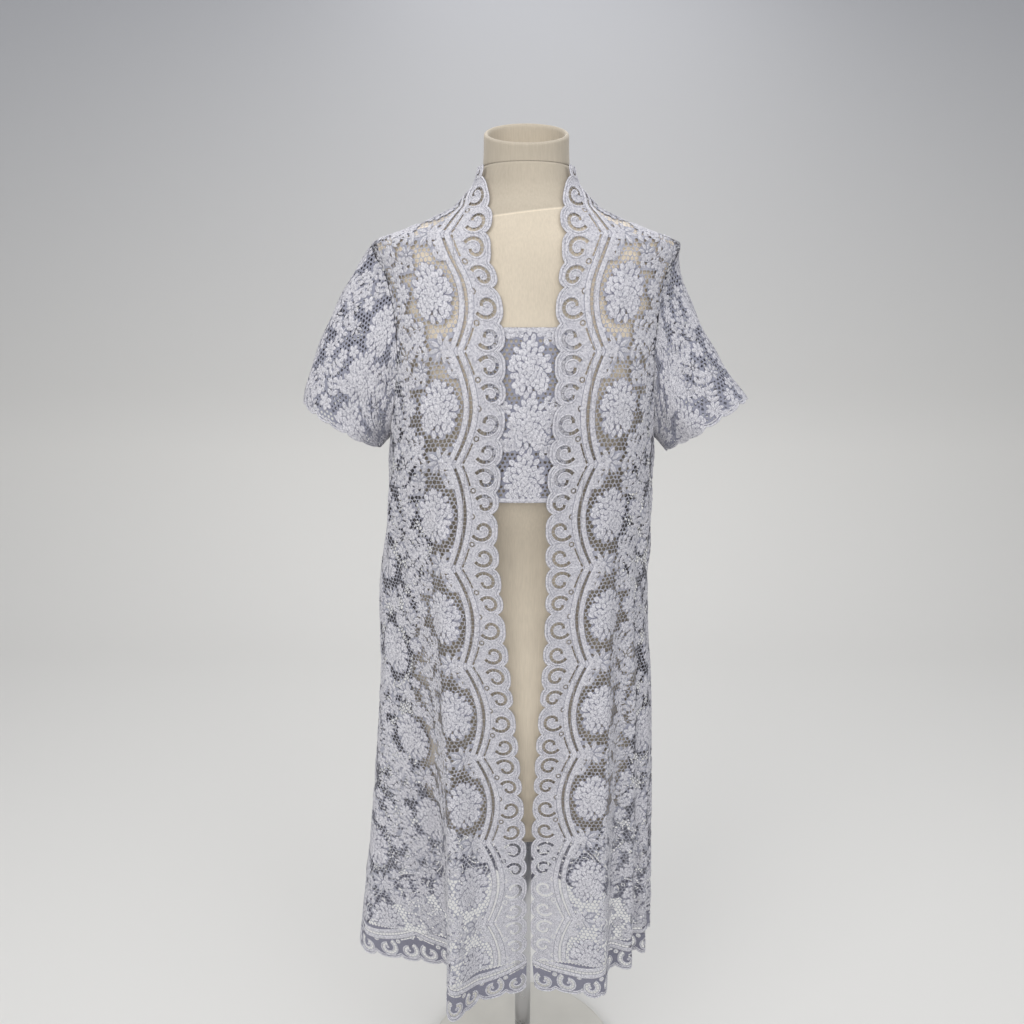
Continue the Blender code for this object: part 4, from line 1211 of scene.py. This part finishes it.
def lace_material(name, dark, light, fine, uneven, bump, group):
    """Lace thread, its tones set along the cloth's grain."""
    made, tree, shader = new_material(name)
    grain = add_node(tree, "ShaderNodeAttribute", {}, "Vector", attribute_name="grain")
    thread = tree.nodes.new("ShaderNodeGroup")
    thread.node_tree = group
    fill_in(thread, {"Vector": grain, "Dark": rgba(dark), "Light": rgba(light), "Fine": fine,
                     "Uneven": uneven})
    fill_in(shader, {"Base Color": thread.outputs["Color"], "Roughness": 0.78,
                     "Normal": add_bump(tree, thread.outputs["Height"], bump, 0.0008),
                     "Sheen Weight": 0.10, "Sheen Roughness": 0.5, "Specular IOR Level": 0.2})
    return made


def jersey_material(colour):
    """Cream jersey: fine upright wales, cleaner under the lace, and a greyer neck above a seam."""
    made, tree, shader = new_material("cream jersey")
    place = add_place(tree)
    squash = add_node(tree, "ShaderNodeMapping", {"Vector": place, "Scale": (1.0, 1.0, 0.06)})
    wales = add_noise(tree, squash, 620.0, 2.0, 0.6)
    both = add_math(tree, "MULTIPLY_ADD", wales, 0.65, add_noise(tree, place, 9.0, 3.0))
    tone = add_mix(tree, add_span(tree, both, 0.45, 1.15), rgba(colour, 0.80), rgba(colour, 1.05))
    parts = add_node(tree, "ShaderNodeSeparateXYZ", {"Vector": place}).node.outputs
    seam = add_math(tree, "MULTIPLY_ADD", parts["X"], -NECK_TILT, parts["Z"])
    # painted light: the chest beside the middle and above the waist is lightened under the lace
    aside = add_math(tree, "ABSOLUTE", parts["X"])
    share = add_math(tree, "MULTIPLY", add_span(tree, aside, 0.045, 0.065, 0.0, COVERED_PAINTED_LIGHT - 1),
                     add_span(tree, parts["Z"], 1.08, 1.20))
    # painted shade: the neck above the seam is darkened
    neck = add_span(tree, seam, NECK_LINE - 0.0005, NECK_LINE + 0.0005, 1.0, NECK_PAINTED_SHADE)
    share = add_math(tree, "MULTIPLY", add_math(tree, "ADD", share, 1.0), neck)
    line = add_math(tree, "COMPARE", seam, NECK_LINE, 0.0011)
    share = add_math(tree, "MULTIPLY_ADD", line, 0.22, share)
    tone_with_painted_light = add_node(tree, "ShaderNodeVectorMath", {0: tone, "Scale": share}, operation="SCALE")
    fill_in(shader, {"Base Color": tone_with_painted_light, "Normal": add_bump(tree, wales, 0.35, 0.0006),
                     "Roughness": 0.86, "Sheen Weight": 0.15})
    return made


def painted_material(name, colour, roughness, metallic):
    """Metal or paint with faint clouding in its colour and gloss."""
    made, tree, shader = new_material(name)
    cloud = add_noise(tree, add_place(tree), 24.0, 5.0)
    gloss = add_span(tree, cloud, 0.3, 0.7, roughness - 0.07, roughness + 0.09)
    fill_in(shader, {"Base Color": add_mix(tree, cloud, rgba(colour, 0.86), rgba(colour)),
                     "Roughness": gloss, "Metallic": metallic})
    return made


# ---------------- workshop


class Workshop:
    """What the operators share: the drape's rows and cloths, the lace's tiles, the finishes."""

    def __init__(self, settings):
        self.settings = s = settings
        levels = np.concatenate([np.arange(HEM_Z, 1.288, 0.004), np.arange(1.288, 1.409, 0.001)])
        self.rows = [Row(z) for z in levels]
        axis = levels[:, None] * (0, 0, 1)
        points, lengths = [r.points for r in self.rows], [r.lengths for r in self.rows]
        self.sides = {
            "right": Cloth(levels, points, lengths, axis, True),
            "left": Cloth(levels, [p[::-1] for p in points],
                          [(a[-1] - a)[::-1] for a in lengths], axis, True),
        }
        self.back = Cloth(levels, points, [r.lengths - r.at(180) for r in self.rows], axis)
        thread = thread_group()
        self.net = lace_material("lace net", s.net_dark, s.net_light, 900.0, 150.0, 0.5, thread)
        self.motif = lace_material(MOTIF_THREAD, s.motif_dark, s.motif_light, 9.0, 430.0, 0.6,
                                   thread)
        self.trees = {"shapes": shapes_tree(), "cords": cords_tree(), "repeat": repeat_tree()}
        self.shapes = {
            "Petal": shape_object("petal", *petal_points()),
            "Leaf": shape_object("leaf", *leaf_points()),
            "Dot": shape_object("dot", *dot_points()),
        }
        large, small = over_tile(large_flower()), over_tile(sprigs())
        more = [s._replace(up=s.up + TALL / 2) for s in large]
        flowers = self.worked(large)
        self.sprigs = self.worked(small) + self.cords(stem_paths(), STEM_CORD)
        self.open_field = flowers + field_net(large + small, *OPEN, *SHADES)
        self.dense_field = flowers + self.worked(more) + field_net(
            large + more + small, *DENSE, *DENSE_PAINTED_SHADES)
        stripes = [repeat_path(arc_line, 45, side * STRIPE_AWAY) for side in (-1, 1)]
        self.stripes = self.cords(stripes, STRIPE_CORD)

    def cords(self, paths, size):
        """Raised cords of a width and height along flat paths, all in millimetres."""
        points, edges = [], []
        for path in paths:
            first = len(points)
            points += [(x * MM, y * MM, 0.0) for x, y in path]
            edges += [(first + k, first + k + 1) for k in range(len(path) - 1)]
        high = size[1] * MM * self.settings.relief
        points, faces, raised, _ = run_tree(
            self.trees["cords"], new_mesh("paths", points, edges=edges), Width=size[0] * MM,
            Height=high, Material=self.motif)
        # painted shade: a cord's low sides get a high rim value, which the lace material darkens
        rim = 1 - np.clip(points[:, 2] / high, 0, 1)
        grain = np.column_stack([points[:, :2] / MM * CORD_GRAIN, rim])
        return Flat(points, upward(points, faces), raised, grain)

    def worked(self, shapes):
        """Raised motifs."""
        relief = self.settings.relief
        mesh = new_mesh(
            "places", [(s.across * MM, s.up * MM, s.lift * MM * relief) for s in shapes],
            kind=[s.kind for s in shapes], turn=[(0, 0, s.turn) for s in shapes],
            size=np.array([(s.long, s.wide, s.relief) for s in shapes]) * MM,
        )
        return run_tree(self.trees["shapes"], mesh, Relief=relief, Material=self.motif,
                        **self.shapes)

    def border_tile(self, wide, shade):
        """One repeat of the border: ground, scroll cords, edge cords, dots and stripes."""
        flat = border_sheet(wide, shade)
        for away, *size in EDGE_CORDS:
            flat = flat + self.cords([repeat_path(edge_line, 66, away)], size)
        beside = [hook_path(h, side * SCROLL_AWAY) for h in HOOKS for side in (-1, 1)]
        dots = [Shape(DOT, h.across, h.up, 0.0, 0.5 * h.radius, 0.5 * h.radius, 1.2, 0.0)
                for h in HOOKS]
        dots += [Shape(DOT, x, y, 0.0, 1.4 * r, 1.4 * r, 1.0, 0.0) for x, y, r in RINGS]
        return flat + self.cords(beside, SCROLL_CORD) + self.worked(dots) + self.stripes

    def repeated(self, flat, across, up, wide, tall, start=(0, 0)):
        """A tile repeated over the cloth, from a flat start."""
        mesh = new_mesh("tile", flat.points, flat.faces.tolist(), grain=flat.grain,
                        raised=flat.raised)
        made = run_tree(self.trees["repeat"], mesh, Across=across, Up=up, Wide=wide, Tall=tall,
                        Ground=self.net, Raised=self.motif)
        return made._replace(points=made.points + (*start, 0.0))

    def laid(self, flat, cut, base=0.5 * CLOTH):
        """Lace trimmed to a cut and laid on its cloth."""
        middle = flat.points[flat.faces].mean(1)
        keep = cut.inside(*flat.points.T[:2])[flat.faces].any(1) & cut.inside(*middle.T[:2])
        used, faces = np.unique(flat.faces[keep], return_inverse=True)
        faces = faces.reshape(-1, 3)[:, :: cut.cloth.hand]
        across, up, high = flat.points[used].T
        if cut.fence:
            across = np.maximum(across, cut.fence(up))
        if cut.hem:
            up = np.maximum(up, cut.hem(across))
        level = np.clip(cut.cloth.level(across, up), cut.low, cut.high)
        across = np.clip(across, cut.first(level), cut.last(level))
        points = cut.cloth.spot(across, level, base + high)
        whole = np.linalg.norm(crosses(points, faces), axis=1) > SLIVER
        return Flat(points, faces[whole], flat.raised[keep][whole], flat.grain[used])

    def joined(self, name, flat, nodes):
        """One piece of laid lace on the frame."""
        thing = add_mesh(name, flat.points, flat.faces.tolist(), [self.net, self.motif],
                         grain=flat.grain)
        thing.data.polygons.foreach_set("material_index", flat.raised.astype(np.int32))
        on_frame(thing, nodes)
        return thing

    def piece(self, name, flat, nodes, slot, cut, sprigs=None, held="draped",
              rests_on=(TORSO_PIECE,)):
        """A piece of lace declared as a sheet, and the sprigs worked on it as a second piece."""
        thing = self.joined(name + "_lace", flat, nodes)
        extra = [self.joined(name + "_sprigs", sprigs, nodes)] if sprigs else []
        wide, tall, area = cut.flat_size()
        min(area, 0.999 * wide * tall)

    def ends(self, piece):
        """A piece's first and last lengths across its cloth, at every level."""
        found = []
        for row in self.rows:
            seams, middle, border = row.seams, row.at(180), BORDER_WIDE
            right, left = seams["front_right"], row.lengths[-1] - seams["front_left"]
            if row.z > FRONT_TOP_Z:
                border = min(BORDER_WIDE, right + SEAM_GAP / 2)
            found.append({
                "front_right": (border + JOIN, right),
                "front_left": (border + JOIN, left),
                "border_right": (-UNTRIMMED, min(border, right)),
                "border_left": (-UNTRIMMED, min(border, left)),
                "band_right": (0.0, right),
                "band_left": (0.0, left),
                "back": (seams["back_right"] - middle, seams["back_left"] - middle),
            }[piece])
        return np.array(found).T


def on_frame(thing, nodes):
    """Ties a piece to the frame: its body, the nodes it replaces and its record slot."""
    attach(thing, "root")
    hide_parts(*nodes)


def add_mesh(name, points, faces, materials, **attributes):
    """A shown piece of the object, smooth, with its place in its mesh."""
    mesh = new_mesh(name, points, faces, **attributes)
    for one in materials:
        mesh.materials.append(one)
    mesh.polygons.foreach_set("use_smooth", [True] * len(faces))
    mesh.update()
    return new_object(name, mesh)


SHOP = {}


def shop():
    """The workshop, made once."""
    if "one" not in SHOP:
        SHOP["one"] = Workshop(bpy.context.scene.kebaya)
    return SHOP["one"]


# ---------------- pieces


def field_over(work, cut, field, columns, rows, start=(0, 0), base=0.5 * CLOTH):
    """A flowered field laid over a cut, and its sprigs."""
    size = (2 * FIELD_WIDE, REPEAT)
    return [work.laid(work.repeated(tile, columns, rows, *size, start), cut, base)
            for tile in (field, work.sprigs)]


def lay_fronts():
    """The two fronts: stripes' ground, stripes and flowered field."""
    work = shop()
    strip = work.repeated(stripe_sheet() + work.stripes, 1, STRIP_REPEATS, 1, REPEAT)
    for side, cloth in work.sides.items():
        first, last = work.ends("front_" + side)
        low, high = BAND_TOP_Z + SEAM_GAP / 2, FRONT_TOP_Z - SEAM_GAP / 2
        cut = Cut(cloth, first, last, low, high)
        field_cut = Cut(cloth, first, last, low, high, fence=fence)
        columns = math.ceil(last.max() / (2 * FIELD_WIDE))
        field, sprigs_on = field_over(work, field_cut, work.open_field, columns, FIELD_REPEATS)
        work.piece("front_" + side, field + work.laid(strip, cut), ["front_" + side], "lace",
                   cut, sprigs_on)


def lay_back():
    """The back, its field set out from the middle."""
    work = shop()
    cut = Cut(work.back, *work.ends("back"), BAND_TOP_Z + SEAM_GAP / 2, NECK_SEAM_Z - SEAM_GAP)
    start = (-4 * FIELD_WIDE - FIRST_COLUMN * MM, 0)
    field, sprigs_on = field_over(work, cut, work.open_field, 5, FIELD_REPEATS, start)
    work.piece("back", field, ["back"], "lace", cut, sprigs_on)


def lay_borders():
    """The fronts' scalloped borders."""
    work = shop()
    strip = work.repeated(work.border_tile(BORDER_WIDE / MM, BORDER_SHADE), 1, FIELD_REPEATS, 1,
                          REPEAT)
    for side, cloth in work.sides.items():
        first, last = work.ends("border_" + side)
        cut = Cut(cloth, first, last, BAND_TOP_Z + SEAM_GAP / 2, TOP_Z)
        seen = Cut(cloth, first + UNTRIMMED, last, cut.low, cut.high)
        work.piece("border_" + side, work.laid(strip, cut), ["border_" + side], "border_lace",
                   seen)


def turned_tile(flat):
    """A tile with its across and up changed over, its faces still the right way round."""
    return flat._replace(points=flat.points[:, [1, 0, 2]], faces=flat.faces[:, ::-1],
                         grain=flat.grain[:, [1, 0, 2]])


def lay_neck_border():
    """The scalloped border round the back of the neck, its tips upwards."""
    work = shop()
    first, last = work.ends("back")
    tile = turned_tile(work.border_tile(NECK_BORDER_WIDE, BORDER_SHADE))
    strip = work.repeated(tile, 4, 1, REPEAT, 1, (-2 * REPEAT, 0))
    top = work.back.up_at(strip.points[:, 0], np.full(len(strip.points), TOP_Z))
    strip.points[:, 1] = top - strip.points[:, 1]
    strip = strip._replace(faces=strip.faces[:, ::-1])
    cut, seen = (Cut(work.back, first, last, NECK_SEAM_Z, z) for z in (NECK_BORDER_Z, TOP_Z))
    work.piece("neck_border", work.laid(strip, cut), ["border_back_neck"], "border_lace", seen)


def lay_hem_bands():
    """The scalloped bands along the hem."""
    work = shop()
    tile = turned_tile(work.border_tile(BAND_TALL / MM + 3, BAND_PAINTED_SHADE))
    for name, cloth, span in (("right", work.sides["right"], "band_right"),
                              ("left", work.sides["left"], "band_left"),
                              ("back", work.back, "back")):
        first, last = work.ends(span)
        count = math.ceil((last[0] - first[0]) / REPEAT) + 2
        start = math.floor(first[0] / REPEAT) * REPEAT
        strip = work.repeated(tile, count, 1, REPEAT, 1, (start, 0))
        cut, seen = (Cut(cloth, first, last, z, BAND_TOP_Z - SEAM_GAP / 2)
                     for z in (HEM_Z - 1, HEM_Z))
        work.piece("hem_band_" + name, work.laid(strip, cut), ["hem_band_" + name], "band_lace",
                   seen)


def lay_centre_panel():
    """The panel behind the borders, from one front to the other."""
    work = shop()
    levels = np.arange(PANEL_LOW - 0.008, PANEL_HIGH + 0.008, 0.003)
    rows, across = [], []
    for z in levels:
        row = Row(z)
        left = row.angle(row.lengths[-1] - PANEL_TUCK) - 360
        rows.append(drape(np.linspace(row.angle(PANEL_TUCK), left, 81), z))
        lengths = lengths_along(rows[-1])
        across.append(lengths - lengths[-1] / 2)
    cloth = Cloth(levels, rows, across, levels[:, None] * (0, 0, 1))
    first, last = np.array([(a[0], a[-1]) for a in across]).T
    cut = Cut(cloth, first, last, PANEL_LOW, PANEL_HIGH)
    start = (-FIRST_COLUMN * MM - 2 * FIELD_WIDE, PANEL_START)
    base = -PANEL_GAP - 0.75 * CLOTH
    panel, sprigs_on = field_over(work, cut, work.dense_field, 2, 3, start, base)
    spots = np.linspace(first.min(), last.max(), 60)
    for level in (PANEL_LOW + PANEL_CORD_AWAY, PANEL_HIGH - PANEL_CORD_AWAY):
        ups = cloth.up_at(spots, np.full(len(spots), level))
        band = work.cords([np.stack([spots, ups], -1) / MM], PANEL_CORD)
        panel = panel + work.laid(band, cut, base)
    work.piece("centre_panel", panel, ["centre_panel"], "panel_lace", cut, sprigs_on, "stretched")


def armhole(side, turn):
    """Angle round the body and height of the armhole's edge at a turn from its top."""
    up, across = math.cos(math.radians(turn)), math.sin(math.radians(turn))
    reach = (ARMHOLE_FRONT if across > 0 else ARMHOLE_BACK) * across
    z = (SHOULDER_Z + UNDERARM_Z) / 2 + up * (SHOULDER_Z - UNDERARM_Z) / 2
    return (90 - reach if side == "right" else 270 + reach), z


def outward(angle, z):
    """Unit vector that points out of the lace at an angle and height."""
    turn, rise = 0.4, 0.0015
    left, right = drape(np.array([angle - turn, angle + turn]), z)
    low, high = drape(angle, z - rise), drape(angle, z + rise)
    normal = np.cross(high - low, right - left)
    return normal / np.linalg.norm(normal)


def sleeve_rings(sleeve, turns, shares):
    """Rings of a sleeve's inner side, from the armhole to the hem, and their folds."""
    starts, aways = [], []
    for turn in turns:
        angle, z = armhole(sleeve.side, turn)
        before, after = (drape(*armhole(sleeve.side, turn + step)) for step in (-1.0, 1.0))
        away = np.cross(after - before, outward(angle, z))
        away /= np.linalg.norm(away) * (-1 if sleeve.side == "left" else 1)
        starts.append(drape(angle, z) + SLEEVE_GAP * away)
        aways.append(away)
    starts, aways = np.array(starts), np.array(aways)
    cosine, sine = np.cos(np.radians(turns)), np.sin(np.radians(turns))
    outer, inner = (sleeve.outer_x, sleeve.outer_z), (sleeve.inner_x, sleeve.inner_z)
    x, z = ((a + b) / 2 + cosine * (a - b) / 2 for a, b in zip(outer, inner))
    z = z - sleeve.sag * np.abs(sine) - sleeve.drop * (1 - sine)
    ends = np.stack([x, -sleeve.deep * sine, z], -1)
    outer = ((1 + cosine) / 2)[:, None]
    spring = (UNDERARM_SPRING + SLEEVE_SPRING * outer) * aways
    finish = SLEEVE_FINISH * (ends - starts)
    out = np.sign(sleeve.outer_x) * np.array([1.0, 0.0, 0.0])
    rings = []
    for t in shares:
        points = (
            (2 * t**3 - 3 * t**2 + 1) * starts
            + (t**3 - 2 * t**2 + t) * spring
            + (3 * t**2 - 2 * t**3) * ends
            + (t**3 - t**2) * finish
            + sleeve.swell * outer * math.sin(math.pi * t) * out
        )
        lift = np.zeros(len(turns))
        for fold in (SleeveFold(*row) for row in SLEEVE_FOLDS[sleeve.side]):
            apart = (turns - fold.turn) / fold.wide
            strength = math.exp(-(((t - fold.share) / SLEEVE_FOLD_LONG) ** 2))
            strength *= min(1.0, max(0.0, t / SLEEVE_FOLD_START))
            lift += fold.height * strength * np.exp(-(apart**2))
        centre = points.mean(0)
        away = points - centre
        away /= np.linalg.norm(away, axis=1, keepdims=True)
        rings.append(points + lift[:, None] * away)
    return rings


def sleeve_hem(across):
    """Small scallops of the sleeves' hems."""
    return 0.55 * scallop(across * 1.35 + 1.3)


def lay_sleeves():
    """The two sleeves, each one piece closed under the arm."""
    work = shop()
    turns = np.linspace(-180, 180, 241)
    shares = np.linspace(1.0, -0.03, 52)
    for sleeve in SLEEVES:
        side = sleeve.side
        rings = [r[:: -1 if side == "left" else 1] for r in sleeve_rings(sleeve, turns, shares)]
        across = [lengths_along(r) for r in rings]
        across = [a - a[len(turns) // 2] for a in across]
        cloth = Cloth(1 - shares, rings, across, np.array([r.mean(0) for r in rings]))
        first, last = np.array([(a[0], a[-1]) for a in across]).T
        cut = Cut(cloth, first, last, 0.0, 0.995, hem=sleeve_hem)
        start = (-4 * FIELD_WIDE + SLEEVE_START[0], SLEEVE_START[1])
        lace, sprigs_on = field_over(work, cut, work.dense_field, 4, 3, start)
        spots = np.linspace(first[0], last[0], 260)
        edge = [work.cords([np.stack([spots, sleeve_hem(spots) + away], -1) / MM], size)
                for away, *size in SLEEVE_CORDS]
        work.piece("sleeve_" + side, lace + work.laid(edge[0] + edge[1], cut),
                   [f"sleeve_{side}_front", f"sleeve_{side}_back"], "sleeve_lace", cut,
                   sprigs_on, "hung", [f"front_{side}_lace", "back_lace"])


def loft(name, rings, material, node):
    """Closed solid through rings of equal point counts, smooth between its flat ends."""
    count, high = len(rings[0]), len(rings) - 1
    here = np.arange(count * len(rings)).reshape(-1, count)
    beside = np.roll(here, -1, axis=1)
    sides = np.stack([here[:-1], beside[:-1], beside[1:], here[1:]], -1).reshape(-1, 4)
    points = np.vstack([*rings, rings[0].mean(0), rings[high].mean(0)])
    faces, middle = sides.tolist(), len(points) - 2
    for j in range(count):
        faces.append([middle, beside[0, j], here[0, j]])
        faces.append([middle + 1, here[high, j], beside[high, j]])
    thing = add_mesh(name, points, faces, [material])
    polygons = thing.data.polygons
    polygons.foreach_set("use_smooth", np.arange(len(faces)) < len(sides))
    centre = Vector(points[:-2].mean(0))
    if sum(p.normal.dot(p.center - centre) for p in polygons) < 0:
        thing.data.flip_normals()
    on_frame(thing, [node])


def shape_form():
    """The jersey-covered torso and the neck with its sunk top."""
    jersey = jersey_material(shop().settings.jersey)
    angles = np.arange(0, 360, 2.5)
    levels = [*np.arange(0.520, 1.29, 0.010), *np.arange(1.29, 1.3995, 0.0025), TOP_Z]
    rings = []
    for z in levels:
        x, y = ring(FORM, angles, np.full(len(angles), z))
        ease = max(0.0, (z - 1.385) / 0.015)  # the step at the neck is drawn in
        rings.append(np.stack([x * (1 - 0.0189 * ease), y * (1 - 0.0100 * ease),
                               np.full(len(angles), z)], -1))
    for inset in (0.55, 0.85):
        rings.insert(0, rings[0] * (inset, inset, 1))
    loft(TORSO_PIECE, rings, jersey, "form_torso")
    cosine, sine = (wave(np.radians(np.arange(0, 360, 3.75))) for wave in (np.cos, np.sin))
    at = np.arange(len(NECK))
    rings = []
    for spot in np.linspace(0, len(NECK) - 1, 6 * (len(NECK) - 1) + 1):
        z, lean, half, front, back = (smooth(at, values, spot) for values in zip(*NECK))
        y = -np.where(cosine > 0, front, back) * cosine
        rings.append(np.stack([-half * sine, y, z + lean * y], -1))
    loft("form_neck_jersey", rings, jersey, "form_neck")


def turned(profile):
    """Rings of a round solid through points (radius, height)."""
    turn = np.linspace(0, 2 * math.pi, 96, endpoint=False)
    level = np.ones(96)
    return [np.stack([r * np.cos(turn), r * np.sin(turn), z * level], -1) for r, z in profile]


def shape_stand():
    """The pole and the round foot."""
    settings, edge, raised = shop().settings, FOOT_EDGE, FOOT_TALL + FOOT_RISE
    steel = painted_material("pole steel", settings.metal, 0.28, 1.0)
    paint = painted_material("foot paint", settings.paint, 0.40, 0.0)
    inner, upper = FOOT_R - edge, FOOT_TALL - edge
    bend = [(edge * math.sin(b), edge * math.cos(b)) for b in np.radians(np.linspace(0, 90, 6))]
    foot = [(inner + s, edge - c) for s, c in bend] + [(inner + c, upper + s) for s, c in bend]
    foot += [(HUB_R + edge, raised), (HUB_R + 0.002, raised + 0.002), (HUB_R, HUB_Z - edge),
             (HUB_R, HUB_Z - HUB_EDGE), (HUB_R - HUB_EDGE, HUB_Z)]
    loft("form_foot_plate", turned(foot), paint, "form_foot")
    pole = [(POLE_R, z) for z in (HUB_Z + SEAM_GAP, 0.2, 0.35, FORM[0].z - SEAM_GAP)]
    loft("form_pole_tube", turned(pole), steel, "form_pole")


def build_stage():
    """Pale floor that curves up into a backdrop, soft lights and the camera."""
    scene = bpy.context.scene
    settings = scene.kebaya
    profile = [(FLOOR_FRONT, 0.0)]
    for b in np.radians(np.linspace(0, 90, 16)):
        profile.append((BEND_START + BEND_R * math.sin(b), BEND_R - BEND_R * math.cos(b)))
    profile.append((BEND_START + BEND_R, WALL_TOP))
    points = [(x, y, z) for y, z in profile for x in (-FLOOR_HALF, FLOOR_HALF)]
    faces = [(2 * k, 2 * k + 1, 2 * k + 3, 2 * k + 2) for k in range(len(profile) - 1)]
    paper, tree, shader = new_material("studio paper")
    rise = add_node(tree, "ShaderNodeSeparateXYZ", {"Vector": add_place(tree)}, "Z")
    # the backdrop runs from the warm floor up to a cooler grey-blue, painted darker towards its top
    # as painted shade
    backdrop_painted_shade = add_mix(tree, add_span(tree, rise, 0.6, 3.2), rgba(settings.floor),
                   rgba(settings.backdrop))
    fill_in(shader, {"Base Color": backdrop_painted_shade, "Roughness": 0.95})
    add_mesh("studio_floor", points, faces, [paper])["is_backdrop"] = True

    world = bpy.data.worlds.new("studio")
    world.use_nodes = True
    fill_in(world.node_tree.nodes["Background"], {"Color": SKY, "Strength": SKY_STRENGTH})
    scene.world = world
    for lamp in LAMPS:
        light = bpy.data.lights.new(lamp.name, "AREA")
        light.size, light.energy, light.color = lamp.size, settings.light * lamp.power, lamp.colour
        thing = new_object(lamp.name, light)
        thing.location = lamp.place
        thing.rotation_euler = (LAMP_AIM - thing.location).to_track_quat("-Z", "Y").to_euler()

    camera = bpy.data.cameras.new("camera")
    camera.sensor_width, camera.lens = CAMERA_SENSOR, CAMERA_SENSOR * CAMERA_LENS
    camera.clip_start, camera.clip_end = 0.05, 30.0
    scene.camera = new_object("camera", camera)
    scene.camera.location = CAMERA_PLACE
    scene.camera.rotation_euler = (math.radians(CAMERA_TILT), 0.0, 0.0)
    scene.view_settings.view_transform = "Standard"


# ---------------- add-on


def tone(name, description, *default):
    """A colour that a user would change."""
    return FloatVectorProperty(name=name, description=description, default=default,
                               subtype="COLOR")


class KebayaSettings(bpy.types.PropertyGroup):
    """Colours and sizes that a user would change."""

    relief: FloatProperty(name="Relief", description="Height of the raised motifs", default=1.0,
                          min=0.2, max=2.0, subtype="FACTOR")
    net_dark: tone("Net, dark", "Shaded tone of the net", 0.27, 0.275, 0.34)
    net_light: tone("Net, light", "Light tone of the net", 0.52, 0.52, 0.58)
    motif_dark: tone("Motifs, dark", "Shaded tone of the motifs", 0.205, 0.205, 0.27)
    motif_light: tone("Motifs, light", "Light tone of the motifs", 0.90, 0.885, 0.92)
    jersey: tone("Jersey", "Colour of the form's cover", 0.60, 0.525, 0.42)
    metal: tone("Pole", "Colour of the pole's steel", 0.62, 0.62, 0.64)
    paint: tone("Foot", "Colour of the foot's satin paint", 0.62, 0.60, 0.55)
    floor: tone("Floor", "Colour of the floor", 0.71, 0.70, 0.68)
    backdrop: tone("Backdrop", "Colour of the backdrop's top", 0.34, 0.35, 0.39)
    light: FloatProperty(name="Light", description="Strength of the studio's lights", default=1.0,
                         min=0.0, max=4.0, subtype="FACTOR")


def operator(idname, label, doc, work):
    """An operator class that runs one step and fails loudly."""

    def execute(self, context):
        work()
        return {"FINISHED"}

    name = "KEBAYA_OT_" + idname.split(".")[1]
    return type(name, (bpy.types.Operator,),
                {"bl_idname": idname, "bl_label": label, "__doc__": doc, "execute": execute})


OPERATORS = [
    operator("kebaya.stage", "Build the studio", "Floor, backdrop, lights and camera", build_stage),
    operator("kebaya.form", "Shape the form", "Jersey torso and neck", shape_form),
    operator("kebaya.stand", "Shape the stand", "Pole and round foot", shape_stand),
    operator("kebaya.fronts", "Lay the fronts", "Both lace fronts", lay_fronts),
    operator("kebaya.back", "Lay the back", "The lace back", lay_back),
    operator("kebaya.borders", "Lay the borders", "Scalloped borders of the fronts", lay_borders),
    operator("kebaya.neck_border", "Lay the neck border", "Border behind the neck",
             lay_neck_border),
    operator("kebaya.hem_bands", "Lay the hem bands", "Scalloped bands at the hem", lay_hem_bands),
    operator("kebaya.centre_panel", "Lay the centre panel", "Panel behind the borders",
             lay_centre_panel),
    operator("kebaya.sleeves", "Lay the sleeves", "Both short sleeves", lay_sleeves),
]


class KEBAYA_PT_panel(bpy.types.Panel):
    """Steps and settings of the kebaya, in the sidebar."""

    bl_idname = "KEBAYA_PT_panel"
    bl_label = "Kebaya"
    bl_space_type = "VIEW_3D"
    bl_region_type = "UI"
    bl_category = "Kebaya"

    def draw(self, context):
        for one in OPERATORS:
            self.layout.operator(one.bl_idname)
        for name in KebayaSettings.__annotations__:
            self.layout.prop(context.scene.kebaya, name)


def register():
    """Adds the settings, the operators and the panel."""
    for one in (KebayaSettings, *OPERATORS, KEBAYA_PT_panel):
        bpy.utils.register_class(one)
    bpy.types.Scene.kebaya = PointerProperty(type=KebayaSettings)


def unregister():
    """Takes them away again."""
    del bpy.types.Scene.kebaya
    for one in (KEBAYA_PT_panel, *reversed(OPERATORS), KebayaSettings):
        bpy.utils.unregister_class(one)


def main():
    """Builds everything in order and writes the sizes."""
    register()
    for one in OPERATORS:
        group, name = one.bl_idname.split(".")
        getattr(getattr(bpy.ops, group), name)()
    for thing in shop().shapes.values():
        bpy.data.objects.remove(thing, do_unlink=True)
    boxes = {"cad": CAD_BOX, "visual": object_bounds()}
    {k: [list(map(float, c)) for c in box] for k, box in boxes.items()}


if __name__ == "__main__":
    main()
